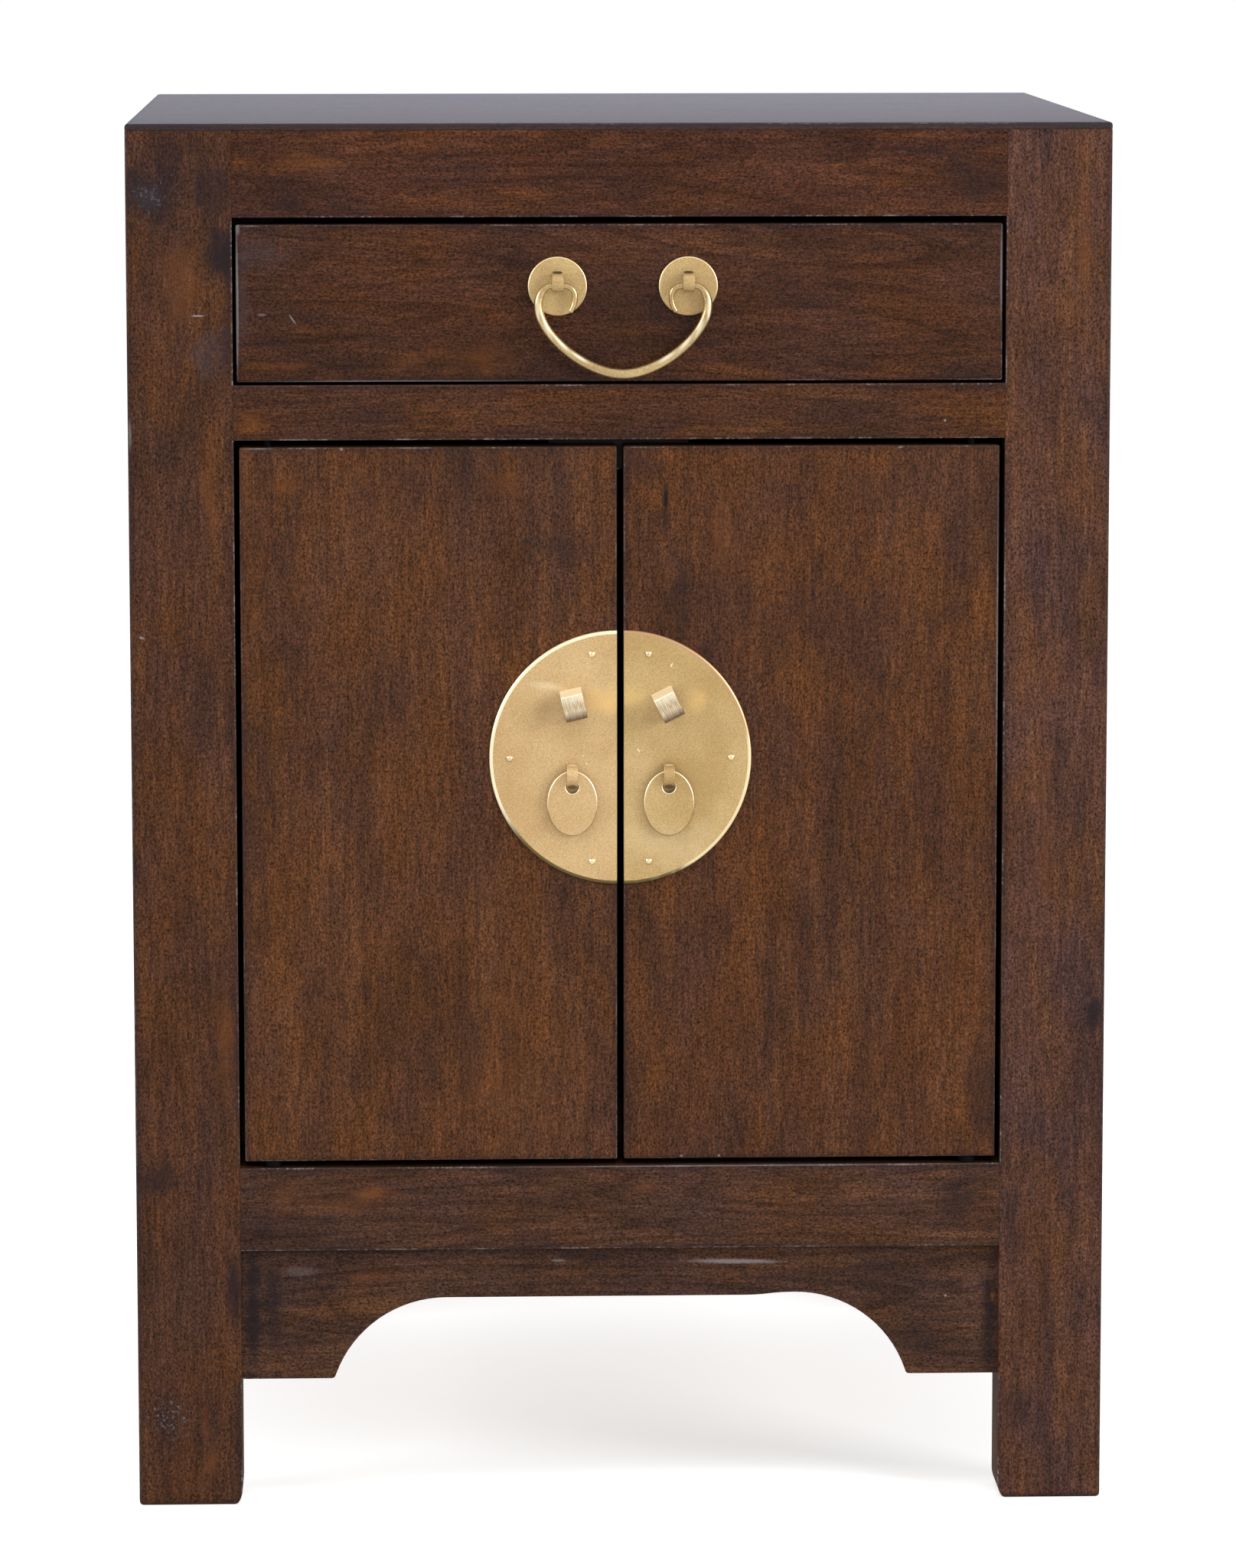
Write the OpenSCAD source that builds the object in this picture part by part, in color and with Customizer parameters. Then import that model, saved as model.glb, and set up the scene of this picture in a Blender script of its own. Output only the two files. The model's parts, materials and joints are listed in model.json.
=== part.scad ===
// Nightstand with one drawer over a two-door cupboard: a framed wooden case
// with brass furniture. Millimetres. X runs across the front, Y from the
// front to the back and Z up. The origin is on the floor, under the middle of
// the case and the brass that stands in front of it.

/* [Case] */
// Width over the two side faces
case_w = 420; // [380:1:520]
// Depth of the woodwork, front face to back face
case_d = 380; // [330:1:460]
// Height from the floor to the top face
case_h = 600; // [570:1:720]
// Width of a leg, seen from the front
leg_w = 45; // [36:0.5:60]
// Thickness of a leg, front to back
leg_d = 28; // [26:0.5:40]
// Radius of the eased outer edges of the legs
arris_r = 1.5; // [0.5:0.1:3]
// Radius of the eased edges along the joints of the frame
joint_r = 0.4; // [0.2:0.1:0.8]
// Width of the rounded inner corner of a foot
foot_ease_w = 4; // [2:0.5:8]
// Height of the rounded inner corner of a foot
foot_ease_h = 8; // [2:0.5:12]
// Radius of the other rounded edges of a foot
foot_r = 2.5; // [1:0.5:4]
// Thickness of the top's skin, which laps over the frame
top_lip_t = 3; // [2.5:0.1:6]
// Thickness of the top's core, which fills the frame
top_core_t = 12; // [6:0.5:20]
// Radius of the rounded upper edge of the top
top_r = 1.6; // [0.5:0.1:2]

/* [Front frame] */
// Thickness of the three front rails
rail_t = 24; // [20:0.5:25]
// Height of the rail over the drawer
top_rail_h = 36.8; // [28:0.1:50]
// Clear height of the drawer opening
drawer_opening_h = 71.3; // [60:0.1:100]
// Height of the rail between drawer and doors
mid_rail_h = 23.5; // [20:0.1:35]
// Clear height of the door opening
door_opening_h = 315.9; // [290:0.1:330]
// Height of the rail under the doors
bottom_rail_h = 36.5; // [30:0.1:50]

/* [Apron] */
// Height of the apron at its two ends
apron_h = 57.6; // [46:0.1:65]
// Thickness of the apron
apron_t = 16; // [10:0.5:19]
// Distance from the front face back to the apron
apron_setback = 4; // [1:0.5:5]
// Height of the arch above the apron's lower ends
arch_rise = 35.6; // [20:0.1:42]
// Length of the flat stretch over the arch
arch_flat_w = 152; // [80:1:170]
// Radius of the arch's two shoulders
arch_r = 51; // [43:0.5:60]
// Height of the right shoulder over the arch's flat stretch
arch_lift = 1.2; // [0.1:0.1:2]
// Length over which the arch rises to its right shoulder
arch_lift_w = 22; // [10:1:30]
// Size of the softened lower tips
tip_r = 2.5; // [1:0.1:5]

/* [Joinery] */
// Length of the cross rails' tenons
tenon_l = 16; // [8:0.5:20]
// Length of the side rails' tenons
side_tenon_l = 12; // [6:0.5:14]
// Thickness of every tenon
tenon_t = 8; // [5:0.5:9]
// Shoulder over and under every tenon
tenon_shoulder = 8; // [7:0.5:9]
// Depth of the panel grooves
groove_d = 6; // [3:0.5:6.5]
// Clearance on each side of a glued tongue or tenon
glue_gap = 0.1; // [0.05:0.05:0.3]
// Clearance at the end of a tenon, a screw or the edge of a panel
end_gap = 0.5; // [0.2:0.1:0.9]
// Clearance round a loose board and under a resting piece
seat_gap = 0.3; // [0.1:0.05:0.6]
// Clearance round the shank of a screw, nail or fixed pin
shank_gap = 0.02; // [0.01:0.01:0.05]

/* [Sides and back] */
// Thickness of the side rails
side_rail_t = 18; // [16:0.5:24]
// Thickness of the side panels
side_panel_t = 9; // [6:0.5:10]
// Distance from a leg's outer face in to the side panel
side_panel_setback = 4; // [3:0.5:5]
// Thickness of the back rails
back_rail_t = 18; // [15:0.5:20]
// Thickness of the back panel
back_panel_t = 5; // [3:0.5:6]
// Distance from the legs' back face in to the back panel
back_panel_setback = 2; // [1.8:0.1:4]
// Width of the rebate that takes the back panel
rebate_w = 8; // [7:0.5:12]
// Diameter of a back panel screw's shank
back_screw_d = 3; // [2:0.1:3.4]
// Length of a back panel screw under its head
back_screw_l = 14; // [11:0.5:18]
// Distance from the end screws of the back panel in to its side edge
back_screw_inset = 33; // [15:1:60]

/* [Inside] */
// Thickness of the cupboard's floor board
floor_t = 12; // [8:0.5:18]
// Thickness of the board under the drawer
divider_t = 9; // [6:0.5:11]
// Width and height of the square cleats under the boards
cleat_size = 14; // [10:0.5:18]
// How far a runner reaches in past the leg, under the drawer side
runner_ledge = 17; // [13:0.5:22]
// Height of the guide beside the drawer side
guide_h = 20; // [8:0.5:35]
// Thickness of the kicker over the drawer side
kicker_t = 12; // [9:0.5:18]
// Clearance between the drawer side and the kicker
kicker_gap = 1.8; // [1:0.1:3]
// Length and height of a drawer stop block
stop_size = 12; // [6:0.5:20]

/* [Drawer] */
// Gap at each side of the drawer front
drawer_gap_side = 1.5; // [1:0.1:3]
// Gap over the drawer front
drawer_gap_top = 3; // [1:0.1:4]
// Gap under the drawer front
drawer_gap_bottom = 1.3; // [0.8:0.1:2.5]
// Thickness of the drawer front
drawer_front_t = 18; // [14:0.5:22]
// Thickness of the drawer sides
drawer_side_t = 10; // [8:0.5:12]
// How far the sides stay below the top of the front
drawer_side_drop = 3; // [2:0.5:8]
// Thickness of the drawer back
drawer_back_t = 10; // [8:0.5:14]
// Thickness of the drawer bottom
drawer_bottom_t = 4; // [3:0.5:6]
// Height of the drawer bottom over the lower edge of the sides
drawer_bottom_rise = 8; // [5:0.5:12]
// Depth of the groove round the drawer bottom
drawer_groove_d = 5; // [3:0.5:6]

/* [Doors] */
// Thickness of the doors
door_t = 18; // [15:0.5:20]
// Gap between a leg and its door
door_gap_side = 2.3; // [2:0.1:4]
// Gap between the two doors
door_gap_centre = 2.8; // [2:0.1:4]
// Gap over the doors
door_gap_top = 3; // [1.5:0.1:4]
// Gap under the doors
door_gap_bottom = 3; // [1.5:0.1:4]
// Radius of the eased edges of doors and drawer front
front_r = 1.2; // [0.5:0.1:2]
// Distance from a door's outer edge to its pivot axis
pivot_inset = 12; // [10:0.5:15]
// Distance from a door's front face to its pivot axis
pivot_depth = 6; // [5:0.1:6.5]
// Diameter of the pivot pins
pivot_d = 4; // [3:0.1:5]
// Depth of the pivot pins in the rails and in the doors
pivot_hold = 10; // [6:0.5:14]
// Diameter of the collar that carries a door
collar_d = 9; // [7:0.1:10]
// Running clearance of a pivot pin in its door
pivot_fit = 0.05; // [0.03:0.01:0.09]

/* [Catch] */
// Width of the nylon beside each magnet
catch_wall = 4.6; // [3:0.1:8]
// Depth of the catch's housing, front to back
catch_d = 16; // [14:0.5:20]
// Height of the housing
catch_h = 14; // [12:0.5:18]
// Diameter of the housing's screws
catch_screw_d = 3; // [2:0.1:3.2]
// Length of a housing screw in the board above
catch_screw_hold = 6; // [4:0.5:8]
// Width of each magnet
magnet_w = 16; // [12:0.5:20]
// Height of each magnet
magnet_h = 8; // [5:0.5:9]
// Depth of each magnet
magnet_d = 8; // [5:0.5:8.5]
// Width of each strike plate
strike_w = 24; // [20:0.5:30]
// Height of each strike plate
strike_h = 10; // [9:0.5:11]
// Thickness of each strike plate
strike_t = 1; // [0.8:0.1:1.5]
// Distance from a door's free edge to its strike plate
strike_inset = 4; // [2:0.5:8]
// Distance from a door's top edge to its strike plate
strike_drop = 1; // [0.5:0.1:2]
// Diameter of a strike plate's screw
strike_screw_d = 2; // [1.5:0.1:3]
// Length of a strike plate's screw
strike_screw_l = 8; // [6:0.5:12]

/* [Round plate] */
// Radius of the round plate
plate_r = 55; // [52:0.5:70]
// Thickness of the round plate
plate_t = 1.5; // [1:0.1:2.5]
// Height of the plate's centre over the lower edge of the doors
plate_rise = 175.9; // [100:0.1:230]
// Width of the plate's bevelled rim
plate_bevel = 0.6; // [0.2:0.1:0.9]
// Distance of the nails from the middle of the plate's straight edge
nail_ring_r = 46.2; // [43:0.1:49]
// Angle of the upper and lower nails from the middle one
nail_angle = 76.5; // [60:0.5:80]
// Diameter of a nail's domed head
nail_head_d = 3.2; // [2.5:0.1:5]
// Height of a nail's domed head
nail_head_h = 1.2; // [0.8:0.1:1.2]
// Diameter of a nail's shank
nail_shank_d = 1.6; // [1:0.1:2]
// Length of a nail's shank in the wood
nail_l = 10; // [6:0.5:13]

/* [Lock staples] */
// Width of the staple's strap
staple_w = 9.5; // [7:0.1:12]
// Height of a staple at the plate
staple_h = 12.6; // [11:0.1:14]
// How far a staple stands out from the plate
staple_reach = 13; // [10:0.1:18]
// Fall of the staple's upper side towards its front
staple_fall = 1.3; // [0:0.1:2]
// Thickness of the staple's strap
staple_t = 1.2; // [0.8:0.1:1.5]
// Distance from a door's free edge to the middle of its staple
staple_x = 18.9; // [15:0.1:24]
// Height of a staple over the plate's centre
staple_rise = 23.6; // [21:0.1:26]
// Twist of the left staple
staple_turn_left = 13; // [0:1:30]
// Twist of the right staple
staple_turn_right = 27; // [0:1:30]

/* [Door pulls] */
// Width of an oval pull
pull_w = 21.7; // [18:0.1:26]
// Height of an oval pull
pull_h = 28.3; // [24:0.1:34]
// Thickness of an oval pull
pull_t = 1.5; // [1:0.1:1.8]
// Width of the metal over the hole of a pull
pull_rim = 4.3; // [3:0.1:4.6]
// Distance from a door's free edge to the middle of its pull
pull_x = 19.4; // [16:0.1:24]
// Depth of the pull's swing axis below the plate's centre
pull_drop = 7.2; // [6:0.1:10]
// Clearance between the swinging pull and the plate
pull_swing_gap = 0.4; // [0.3:0.1:1]
// Inner radius of the pull's strap
pull_eye_r = 3.9; // [3.6:0.1:4.6]
// Width of the pull's strap
pull_strap_w = 4.7; // [3.5:0.1:5.5]
// Height of the strap's inner face over the middle of the pull's hole
pull_strap_lift = 1.2; // [1.1:0.1:1.6]
// Clearance between the strap and the pull's hole
pull_fit = 0.1; // [0.08:0.01:0.2]

/* [Drawer pull] */
// Diameter of a rosette
rosette_d = 25.2; // [22:0.1:30]
// Thickness of a rosette
rosette_t = 1.2; // [0.8:0.1:2]
// Distance between the two rosettes
pull_spread = 55.8; // [50:0.1:62]
// Height of the rosettes over the lower edge of the drawer front
rosette_rise = 40.6; // [36:0.1:46]
// Sideways offset of the drawer pull from the middle
pull_shift = 1.2; // [-5:0.1:5]
// Height of the bail's swing axis over the rosettes' centres
bail_lift = 0.4; // [0:0.1:1]
// Distance from the rosette to the bail's swing axis
bail_leg = 3.6; // [3:0.1:5]
// Inner radius of the bail's strap
bail_eye_r = 2.4; // [2.2:0.1:2.8]
// Straight height between the two bends of the bail's strap
bail_eye_rise = 1.2; // [0:0.1:2]
// Width of the bail's strap
bail_strap_w = 4.8; // [3.5:0.1:5.5]
// Thickness of the small straps' metal
strap_t = 1; // [0.8:0.1:1.2]
// Length of the straps' ends, bent flat behind the wood
clinch_l = 5; // [3:0.5:6]
// Clearance between a strap or staple and its slot
slot_gap = 0.05; // [0.03:0.01:0.1]
// Drop of the bail from its swing axis to its middle
bail_drop = 37.5; // [32:0.1:39]
// How far the bail's sides stand outside the middle of its straps
bail_flare = 8.2; // [7:0.1:10]
// Drop of the bail from its swing axis to the foot of its shoulders
bail_shoulder = 8.5; // [7:0.1:12]
// Drop of the bail's curled ends
bail_curl = 11.1; // [8:0.1:13]
// Diameter of the bail at its middle
bail_d = 4.4; // [3:0.1:5]
// Diameter of the bail at its sides
bail_side_d = 3.9; // [3:0.1:4.5]
// Diameter of the bail in its straps
bail_eye_d = 2.6; // [2.2:0.1:3]
// Diameter of the bail at its curled ends
bail_end_d = 2.2; // [1.6:0.1:2.6]

/* [Hidden] */
$fn = 48;

// Colours of the two woods, the metals and the catch
stain = "#4a2f22";
raw_wood = "#8d6a45";
brass = "#c9a86a";
steel = "#9a9a98";
nylon = "#3a3431";

// Distance by which a cut passes the face that it opens
over = 1;

// Hole and top of an oval pull, seen from its swing axis
pull_hole_r = norm([pull_strap_w / 2, pull_strap_lift]) + pull_fit;
pull_hole_z = -pull_eye_r - pull_strap_lift;
pull_top_z = pull_hole_z + pull_hole_r + pull_rim;
pull_leg = norm([pull_top_z, pull_t / 2]) + pull_swing_gap;

// The piece that stands furthest out sets where the front face lies
staple_front = plate_t + staple_reach;
pull_front = plate_t + pull_leg + pull_eye_r + strap_t;
bail_front = rosette_t + bail_leg + bail_eye_r + strap_t;
front_reach = max(staple_front, pull_front, bail_front);
front_y = (front_reach - case_d) / 2;
back_y = front_y + case_d;

// Planes of the frame
half_w = case_w / 2;
inner_x = half_w - leg_w;
frame_z1 = case_h - top_lip_t;
top_rail_z0 = frame_z1 - top_rail_h;
mid_rail_z1 = top_rail_z0 - drawer_opening_h;
mid_rail_z0 = mid_rail_z1 - mid_rail_h;
bottom_rail_z1 = mid_rail_z0 - door_opening_h;
bottom_rail_z0 = bottom_rail_z1 - bottom_rail_h;
apron_z0 = bottom_rail_z0 - apron_h;
leg_back_y = front_y + leg_d;
rear_leg_y = back_y - leg_d;

// Planes of the sides and the back
panel_x1 = half_w - side_panel_setback;
panel_x0 = panel_x1 - side_panel_t;
side_rail_x0 = half_w - side_rail_t;
back_panel_y1 = back_y - back_panel_setback;
back_panel_y0 = back_panel_y1 - back_panel_t;
back_rail_y0 = back_panel_y0 - back_rail_t;

// Places of the screws that hold the back panel, as [x, z]
back_screw_side_x = inner_x + rebate_w / 2;
back_screw_row_x = inner_x + rebate_w - back_screw_inset;
back_screw_z0 = (bottom_rail_z0 + bottom_rail_z1) / 2;
back_screw_z1 = (top_rail_z0 + frame_z1) / 2;
back_screw_places = concat(
    [for (x = [-back_screw_row_x, 0, back_screw_row_x], z = [back_screw_z0, back_screw_z1]) [x, z]],
    [for (x = [-back_screw_side_x, back_screw_side_x], share = [1 / 3, 2 / 3])
        [x, back_screw_z0 + share * (back_screw_z1 - back_screw_z0)]]
);

// Planes of the boards inside and of the drawer
divider_z1 = mid_rail_z0 + divider_t;
drawer_z0 = mid_rail_z1 + drawer_gap_bottom;
drawer_z1 = top_rail_z0 - drawer_gap_top;
drawer_x = inner_x - drawer_gap_side;
drawer_front_y1 = front_y + drawer_front_t;
inside_y0 = leg_back_y + seat_gap;
inside_y1 = rear_leg_y - seat_gap;
drawer_stop_y = inside_y1 - stop_size;
drawer_y1 = drawer_stop_y - seat_gap;
drawer_side_z1 = drawer_z1 - drawer_side_drop;
drawer_bottom_z0 = drawer_z0 + drawer_bottom_rise;
drawer_bottom_z1 = drawer_bottom_z0 + drawer_bottom_t;
runner_z1 = drawer_z0 - seat_gap;
kicker_z0 = drawer_side_z1 + kicker_gap;

// Planes and axes of the doors
door_z0 = bottom_rail_z1 + door_gap_bottom;
door_z1 = mid_rail_z0 - door_gap_top;
door_x0 = door_gap_centre / 2;
door_x1 = inner_x - door_gap_side;
door_back_y = front_y + door_t;
pivot_x = door_x1 - pivot_inset;
pivot_y = front_y + pivot_depth;

// Strikes, magnets and the housing round them
strike_z1 = door_z1 - strike_drop;
strike_z = strike_z1 - strike_h / 2;
strike_x0 = door_x0 + strike_inset;
strike_x = strike_x0 + strike_w / 2;
magnet_x1 = strike_x + magnet_w / 2;
catch_x1 = magnet_x1 + catch_wall;
catch_y0 = door_back_y + strike_t + seat_gap;
catch_z0 = mid_rail_z0 - catch_h;
catch_screw_y = catch_y0 + catch_d - 1.2 * catch_screw_d;

// Round plate and what it carries
plate_y = front_y - plate_t;
plate_z = door_z0 + plate_rise;
plate_wood_t = plate_t + door_t;
pull_axis_y = plate_y - pull_leg;
pull_axis_z = plate_z - pull_drop;

// Drawer pull; the bail hangs just clear of the bottom of its straps' eyes
rosette_y = front_y - rosette_t;
rosette_z = drawer_z0 + rosette_rise;
rosette_wood_t = rosette_t + drawer_front_t;
rosette_x_left = pull_shift - pull_spread / 2;
rosette_x_right = pull_shift + pull_spread / 2;
bail_y = rosette_y - bail_leg;
bail_z = rosette_z + bail_lift;
bail_eye_z = bail_z + bail_eye_r - bail_eye_d / 2 - seat_gap;

// Points along an arc from angle a0 to a1; an ellipse's where r is [rx, ry]
function arc(centre, r, a0, a1, n) =
    let (q = is_list(r) ? r : [r, r])
    [for (i = [0:n]) let (a = a0 + (a1 - a0) * i / n) centre + [q.x * cos(a), q.y * sin(a)]];

// Corners of a closed ellipse with n sides; r is [rx, ry]
function ellipse(centre, r, n) = [for (i = [1:n]) centre + [r.x * cos(360 * i / n), r.y * sin(360 * i / n)]];

// Corners of a rectangle with rounded corners. The radii, one or four, start
// at the lower right corner and go round anticlockwise.
function round_rect(low, high, r, n = 4) =
    let (q = is_list(r) ? r : [r, r, r, r])
    concat(
        arc([high.x - q[0], low.y + q[0]], q[0], -90, 0, n),
        arc([high.x - q[1], high.y - q[1]], q[1], 0, 90, n),
        arc([low.x + q[2], high.y - q[2]], q[2], 90, 180, n),
        arc([low.x + q[3], low.y + q[3]], q[3], 180, 270, n)
    );

// Points along a cubic curve with the control points c, without its first
function curve(c, n) = [for (i = [1:n]) let (t = i / n, s = 1 - t)
    s * s * s * c[0] + 3 * s * s * t * c[1] + 3 * s * t * t * c[2] + t * t * t * c[3]];

function reversed(list) = [for (i = [len(list) - 1:-1:0]) list[i]];

module box(low, high) {
    translate(low) cube(high - low);
}

// Extrudes a drawing of the Y-Z plane from x0 to x1
module extrude_x(x0, x1) {
    translate([x0, 0, 0]) rotate([90, 0, 90]) linear_extrude(x1 - x0) children();
}

// Extrudes a drawing of the X-Z plane from y0 to y1
module extrude_y(y0, y1) {
    translate([0, y1, 0]) rotate([90, 0, 0]) linear_extrude(y1 - y0) children();
}

// Right-hand pieces are drawn, and left-hand ones are their mirror image
module at_side(side) {
    if (side < 0) mirror([1, 0, 0]) children();
    else children();
}

module at_both_sides() {
    for (side = [-1, 1]) at_side(side) children();
}

// A board with every edge rounded to radius r
module eased_board(low, high, r) {
    intersection() {
        translate([0, 0, low.z]) linear_extrude(high.z - low.z)
            polygon(round_rect([low.x, low.y], [high.x, high.y], r));
        extrude_x(low.x, high.x) polygon(round_rect([low.y, low.z], [high.y, high.z], r));
        extrude_y(low.y, high.y) polygon(round_rect([low.x, low.z], [high.x, high.z], r));
    }
}

// Pan-head screw along +Z, with the underside of its head at zero
module screw(d, l) {
    head_h = d / 2;
    cylinder(d = d, h = l);
    difference() {
        translate([0, 0, -head_h]) cylinder(d = 2 * d, h = head_h);
        for (turn = [0, 90]) rotate(turn)
            translate([-0.7 * d, -d / 8, -head_h - over]) cube([1.4 * d, d / 4, over + head_h / 2]);
    }
}

// Hole for a shank that runs from zero along +Z
module shank_hole(d, l) {
    translate([0, 0, -over]) cylinder(d = d + 2 * shank_gap, h = over + l + end_gap);
}

// Tenon at the right end of a cross rail, or with grow the mortise for it
module cross_tenon(z0, z1, y0, t, grow = 0) {
    mid_y = y0 + t / 2;
    x0 = grow > 0 ? inner_x - over : inner_x;
    x1 = inner_x + tenon_l + (grow > 0 ? end_gap : 0);
    box([x0, mid_y - tenon_t / 2 - grow, z0 + tenon_shoulder - grow],
        [x1, mid_y + tenon_t / 2 + grow, z1 - tenon_shoulder + grow]);
}

// Rail from leg to leg, with eased long edges and a tenon at each end
module cross_rail(z0, z1, y0, t) {
    extrude_x(-inner_x, inner_x) polygon(round_rect([y0, z0], [y0 + t, z1], joint_r, 3));
    at_both_sides() cross_tenon(z0, z1, y0, t);
}

// Tongue along Y in the thickness of a right-hand side rail
module side_tenon(z0, z1, y0, y1, grow = 0) {
    mid_x = half_w - side_rail_t / 2;
    box([mid_x - tenon_t / 2 - grow, y0, z0 + tenon_shoulder - grow],
        [mid_x + tenon_t / 2 + grow, y1, z1 - tenon_shoulder + grow]);
}

// Right-hand side panel, or with grow the groove that takes it
module side_panel_body(grow = 0) {
    edge = grow > 0 ? groove_d : groove_d - end_gap;
    box([panel_x0 - grow, leg_back_y - edge, bottom_rail_z1 - edge],
        [panel_x1 + grow, rear_leg_y + edge, top_rail_z0 + edge]);
}

module side_rail(z0, z1) {
    difference() {
        union() {
            extrude_y(leg_back_y, rear_leg_y)
                polygon(round_rect([side_rail_x0, z0], [half_w, z1], joint_r, 3));
            side_tenon(z0, z1, leg_back_y - side_tenon_l, rear_leg_y + side_tenon_l);
        }
        side_panel_body(glue_gap);
    }
}

// Outline of a right-hand leg from the front, with its worn inner corner
function leg_front_outline() = concat(
    arc([half_w - foot_r, foot_r], foot_r, -90, 0, 4),
    arc([half_w - joint_r, frame_z1 - joint_r], joint_r, 0, 90, 3),
    arc([inner_x + joint_r, frame_z1 - joint_r], joint_r, 90, 180, 3),
    arc([inner_x + foot_ease_w, foot_ease_h], [foot_ease_w, foot_ease_h], 180, 270, 8)
);

module leg_blank(y0, y1) {
    plan_radii = [arris_r, arris_r, joint_r, joint_r];
    side_radii = [foot_r, joint_r, joint_r, foot_r];
    intersection() {
        linear_extrude(frame_z1) polygon(round_rect([inner_x, y0], [half_w, y1], plan_radii));
        extrude_y(y0, y1) polygon(leg_front_outline());
        extrude_x(inner_x, half_w) polygon(round_rect([y0, 0], [y1, frame_z1], side_radii));
    }
}

// Mortises of the two side rails in the right-hand leg between y0 and y1
module side_mortises(y0, y1) {
    side_tenon(top_rail_z0, frame_z1, y0, y1, glue_gap);
    side_tenon(bottom_rail_z0, bottom_rail_z1, y0, y1, glue_gap);
}

module front_leg(side) {
    color(stain) at_side(side) difference() {
        leg_blank(front_y, leg_back_y);
        cross_tenon(top_rail_z0, frame_z1, front_y, rail_t, glue_gap);
        cross_tenon(mid_rail_z0, mid_rail_z1, front_y, rail_t, glue_gap);
        cross_tenon(bottom_rail_z0, bottom_rail_z1, front_y, rail_t, glue_gap);
        side_mortises(leg_back_y - side_tenon_l - end_gap, leg_back_y + over);
        side_panel_body(glue_gap);
    }
}

module rear_leg(side) {
    color(stain) at_side(side) difference() {
        leg_blank(rear_leg_y, back_y);
        cross_tenon(top_rail_z0, frame_z1, back_rail_y0, back_rail_t, glue_gap);
        cross_tenon(bottom_rail_z0, bottom_rail_z1, back_rail_y0, back_rail_t, glue_gap);
        side_mortises(rear_leg_y - over, rear_leg_y + side_tenon_l + end_gap);
        side_panel_body(glue_gap);
        box([inner_x - over, back_panel_y0, bottom_rail_z0],
            [inner_x + rebate_w, back_y + over, frame_z1 + over]);
        back_screw_holes();
    }
}

// Plan of a board that fills the frame: wide between the legs, narrow at them
module inside_plan(wide_x, y0, y1) {
    translate([-wide_x, inside_y0]) square([2 * wide_x, inside_y1 - inside_y0]);
    translate([-inner_x + seat_gap, y0]) square([2 * (inner_x - seat_gap), y1 - y0]);
}

module frame_board(z0, z1) {
    translate([0, 0, z0]) linear_extrude(z1 - z0)
        inside_plan(side_rail_x0 - seat_gap, front_y + rail_t + seat_gap, back_rail_y0 - seat_gap);
}

module top_board() {
    edge_radii = [joint_r, top_r, top_r, joint_r];
    color(stain) {
        intersection() {
            translate([0, 0, frame_z1]) linear_extrude(top_lip_t)
                polygon(round_rect([-half_w, front_y], [half_w, back_y], arris_r));
            extrude_x(-half_w, half_w)
                polygon(round_rect([front_y, frame_z1], [back_y, case_h], edge_radii));
            extrude_y(front_y, back_y)
                polygon(round_rect([-half_w, frame_z1], [half_w, case_h], edge_radii));
        }
        frame_board(frame_z1 - top_core_t, frame_z1 + top_lip_t / 2);
    }
}

module top_rail() {
    color(stain) cross_rail(top_rail_z0, frame_z1, front_y, rail_t);
}

module mid_rail() {
    color(stain) difference() {
        cross_rail(mid_rail_z0, mid_rail_z1, front_y, rail_t);
        at_both_sides() translate([pivot_x, pivot_y, mid_rail_z0]) shank_hole(pivot_d, pivot_hold);
    }
}

module bottom_rail() {
    color(stain) difference() {
        cross_rail(bottom_rail_z0, bottom_rail_z1, front_y, rail_t);
        at_both_sides() translate([pivot_x, pivot_y, bottom_rail_z1])
            mirror([0, 0, 1]) shank_hole(pivot_d, pivot_hold);
    }
}

// Right half of the apron's outline, from the middle of the arch outwards,
// with the arch's shoulder standing lift over its flat stretch
function apron_half(lift) =
    let (
        rise = arch_rise + lift,
        shoulder = [arch_flat_w / 2, apron_z0 + rise - arch_r],
        tip_angle = asin(1 - rise / arch_r),
        tip = [shoulder.x + arch_r * cos(tip_angle), apron_z0],
        edge = arc(shoulder, arch_r, 90, tip_angle + tip_r / arch_r * 180 / PI, 16),
        half_lift_w = [arch_lift_w / 2, 0],
        flat_end = edge[0] - 2 * half_lift_w - [0, lift]
    )
    concat(
        lift > 0
            ? concat([flat_end], curve([flat_end, flat_end + half_lift_w, edge[0] - half_lift_w, edge[0]], 6))
            : [edge[0]],
        [for (i = [1:16]) edge[i]],
        curve([edge[16], tip, tip, tip + [tip_r, 0]], 4),
        [[inner_x, apron_z0], [inner_x, bottom_rail_z0]]
    );

module apron() {
    left_half = [for (p = reversed(apron_half(0))) [-p.x, p.y]];
    color(stain) extrude_y(front_y + apron_setback, front_y + apron_setback + apron_t)
        polygon(concat(left_half, apron_half(arch_lift)));
}

module side_top_rail(side) {
    color(stain) at_side(side) side_rail(top_rail_z0, frame_z1);
}

module side_bottom_rail(side) {
    color(stain) at_side(side) side_rail(bottom_rail_z0, bottom_rail_z1);
}

module side_panel(side) {
    color(stain) at_side(side) side_panel_body();
}

// Puts its children, drawn along +Z, at each place of a back panel screw
module at_back_screws() {
    for (place = back_screw_places)
        translate([place.x, back_panel_y1, place.y]) rotate([90, 0, 0]) children();
}

module back_screw_holes() {
    at_back_screws() shank_hole(back_screw_d, back_screw_l);
}

module back_top_rail() {
    color(stain) difference() {
        cross_rail(top_rail_z0, frame_z1, back_rail_y0, back_rail_t);
        back_screw_holes();
    }
}

module back_bottom_rail() {
    color(stain) difference() {
        cross_rail(bottom_rail_z0, bottom_rail_z1, back_rail_y0, back_rail_t);
        back_screw_holes();
    }
}

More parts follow.
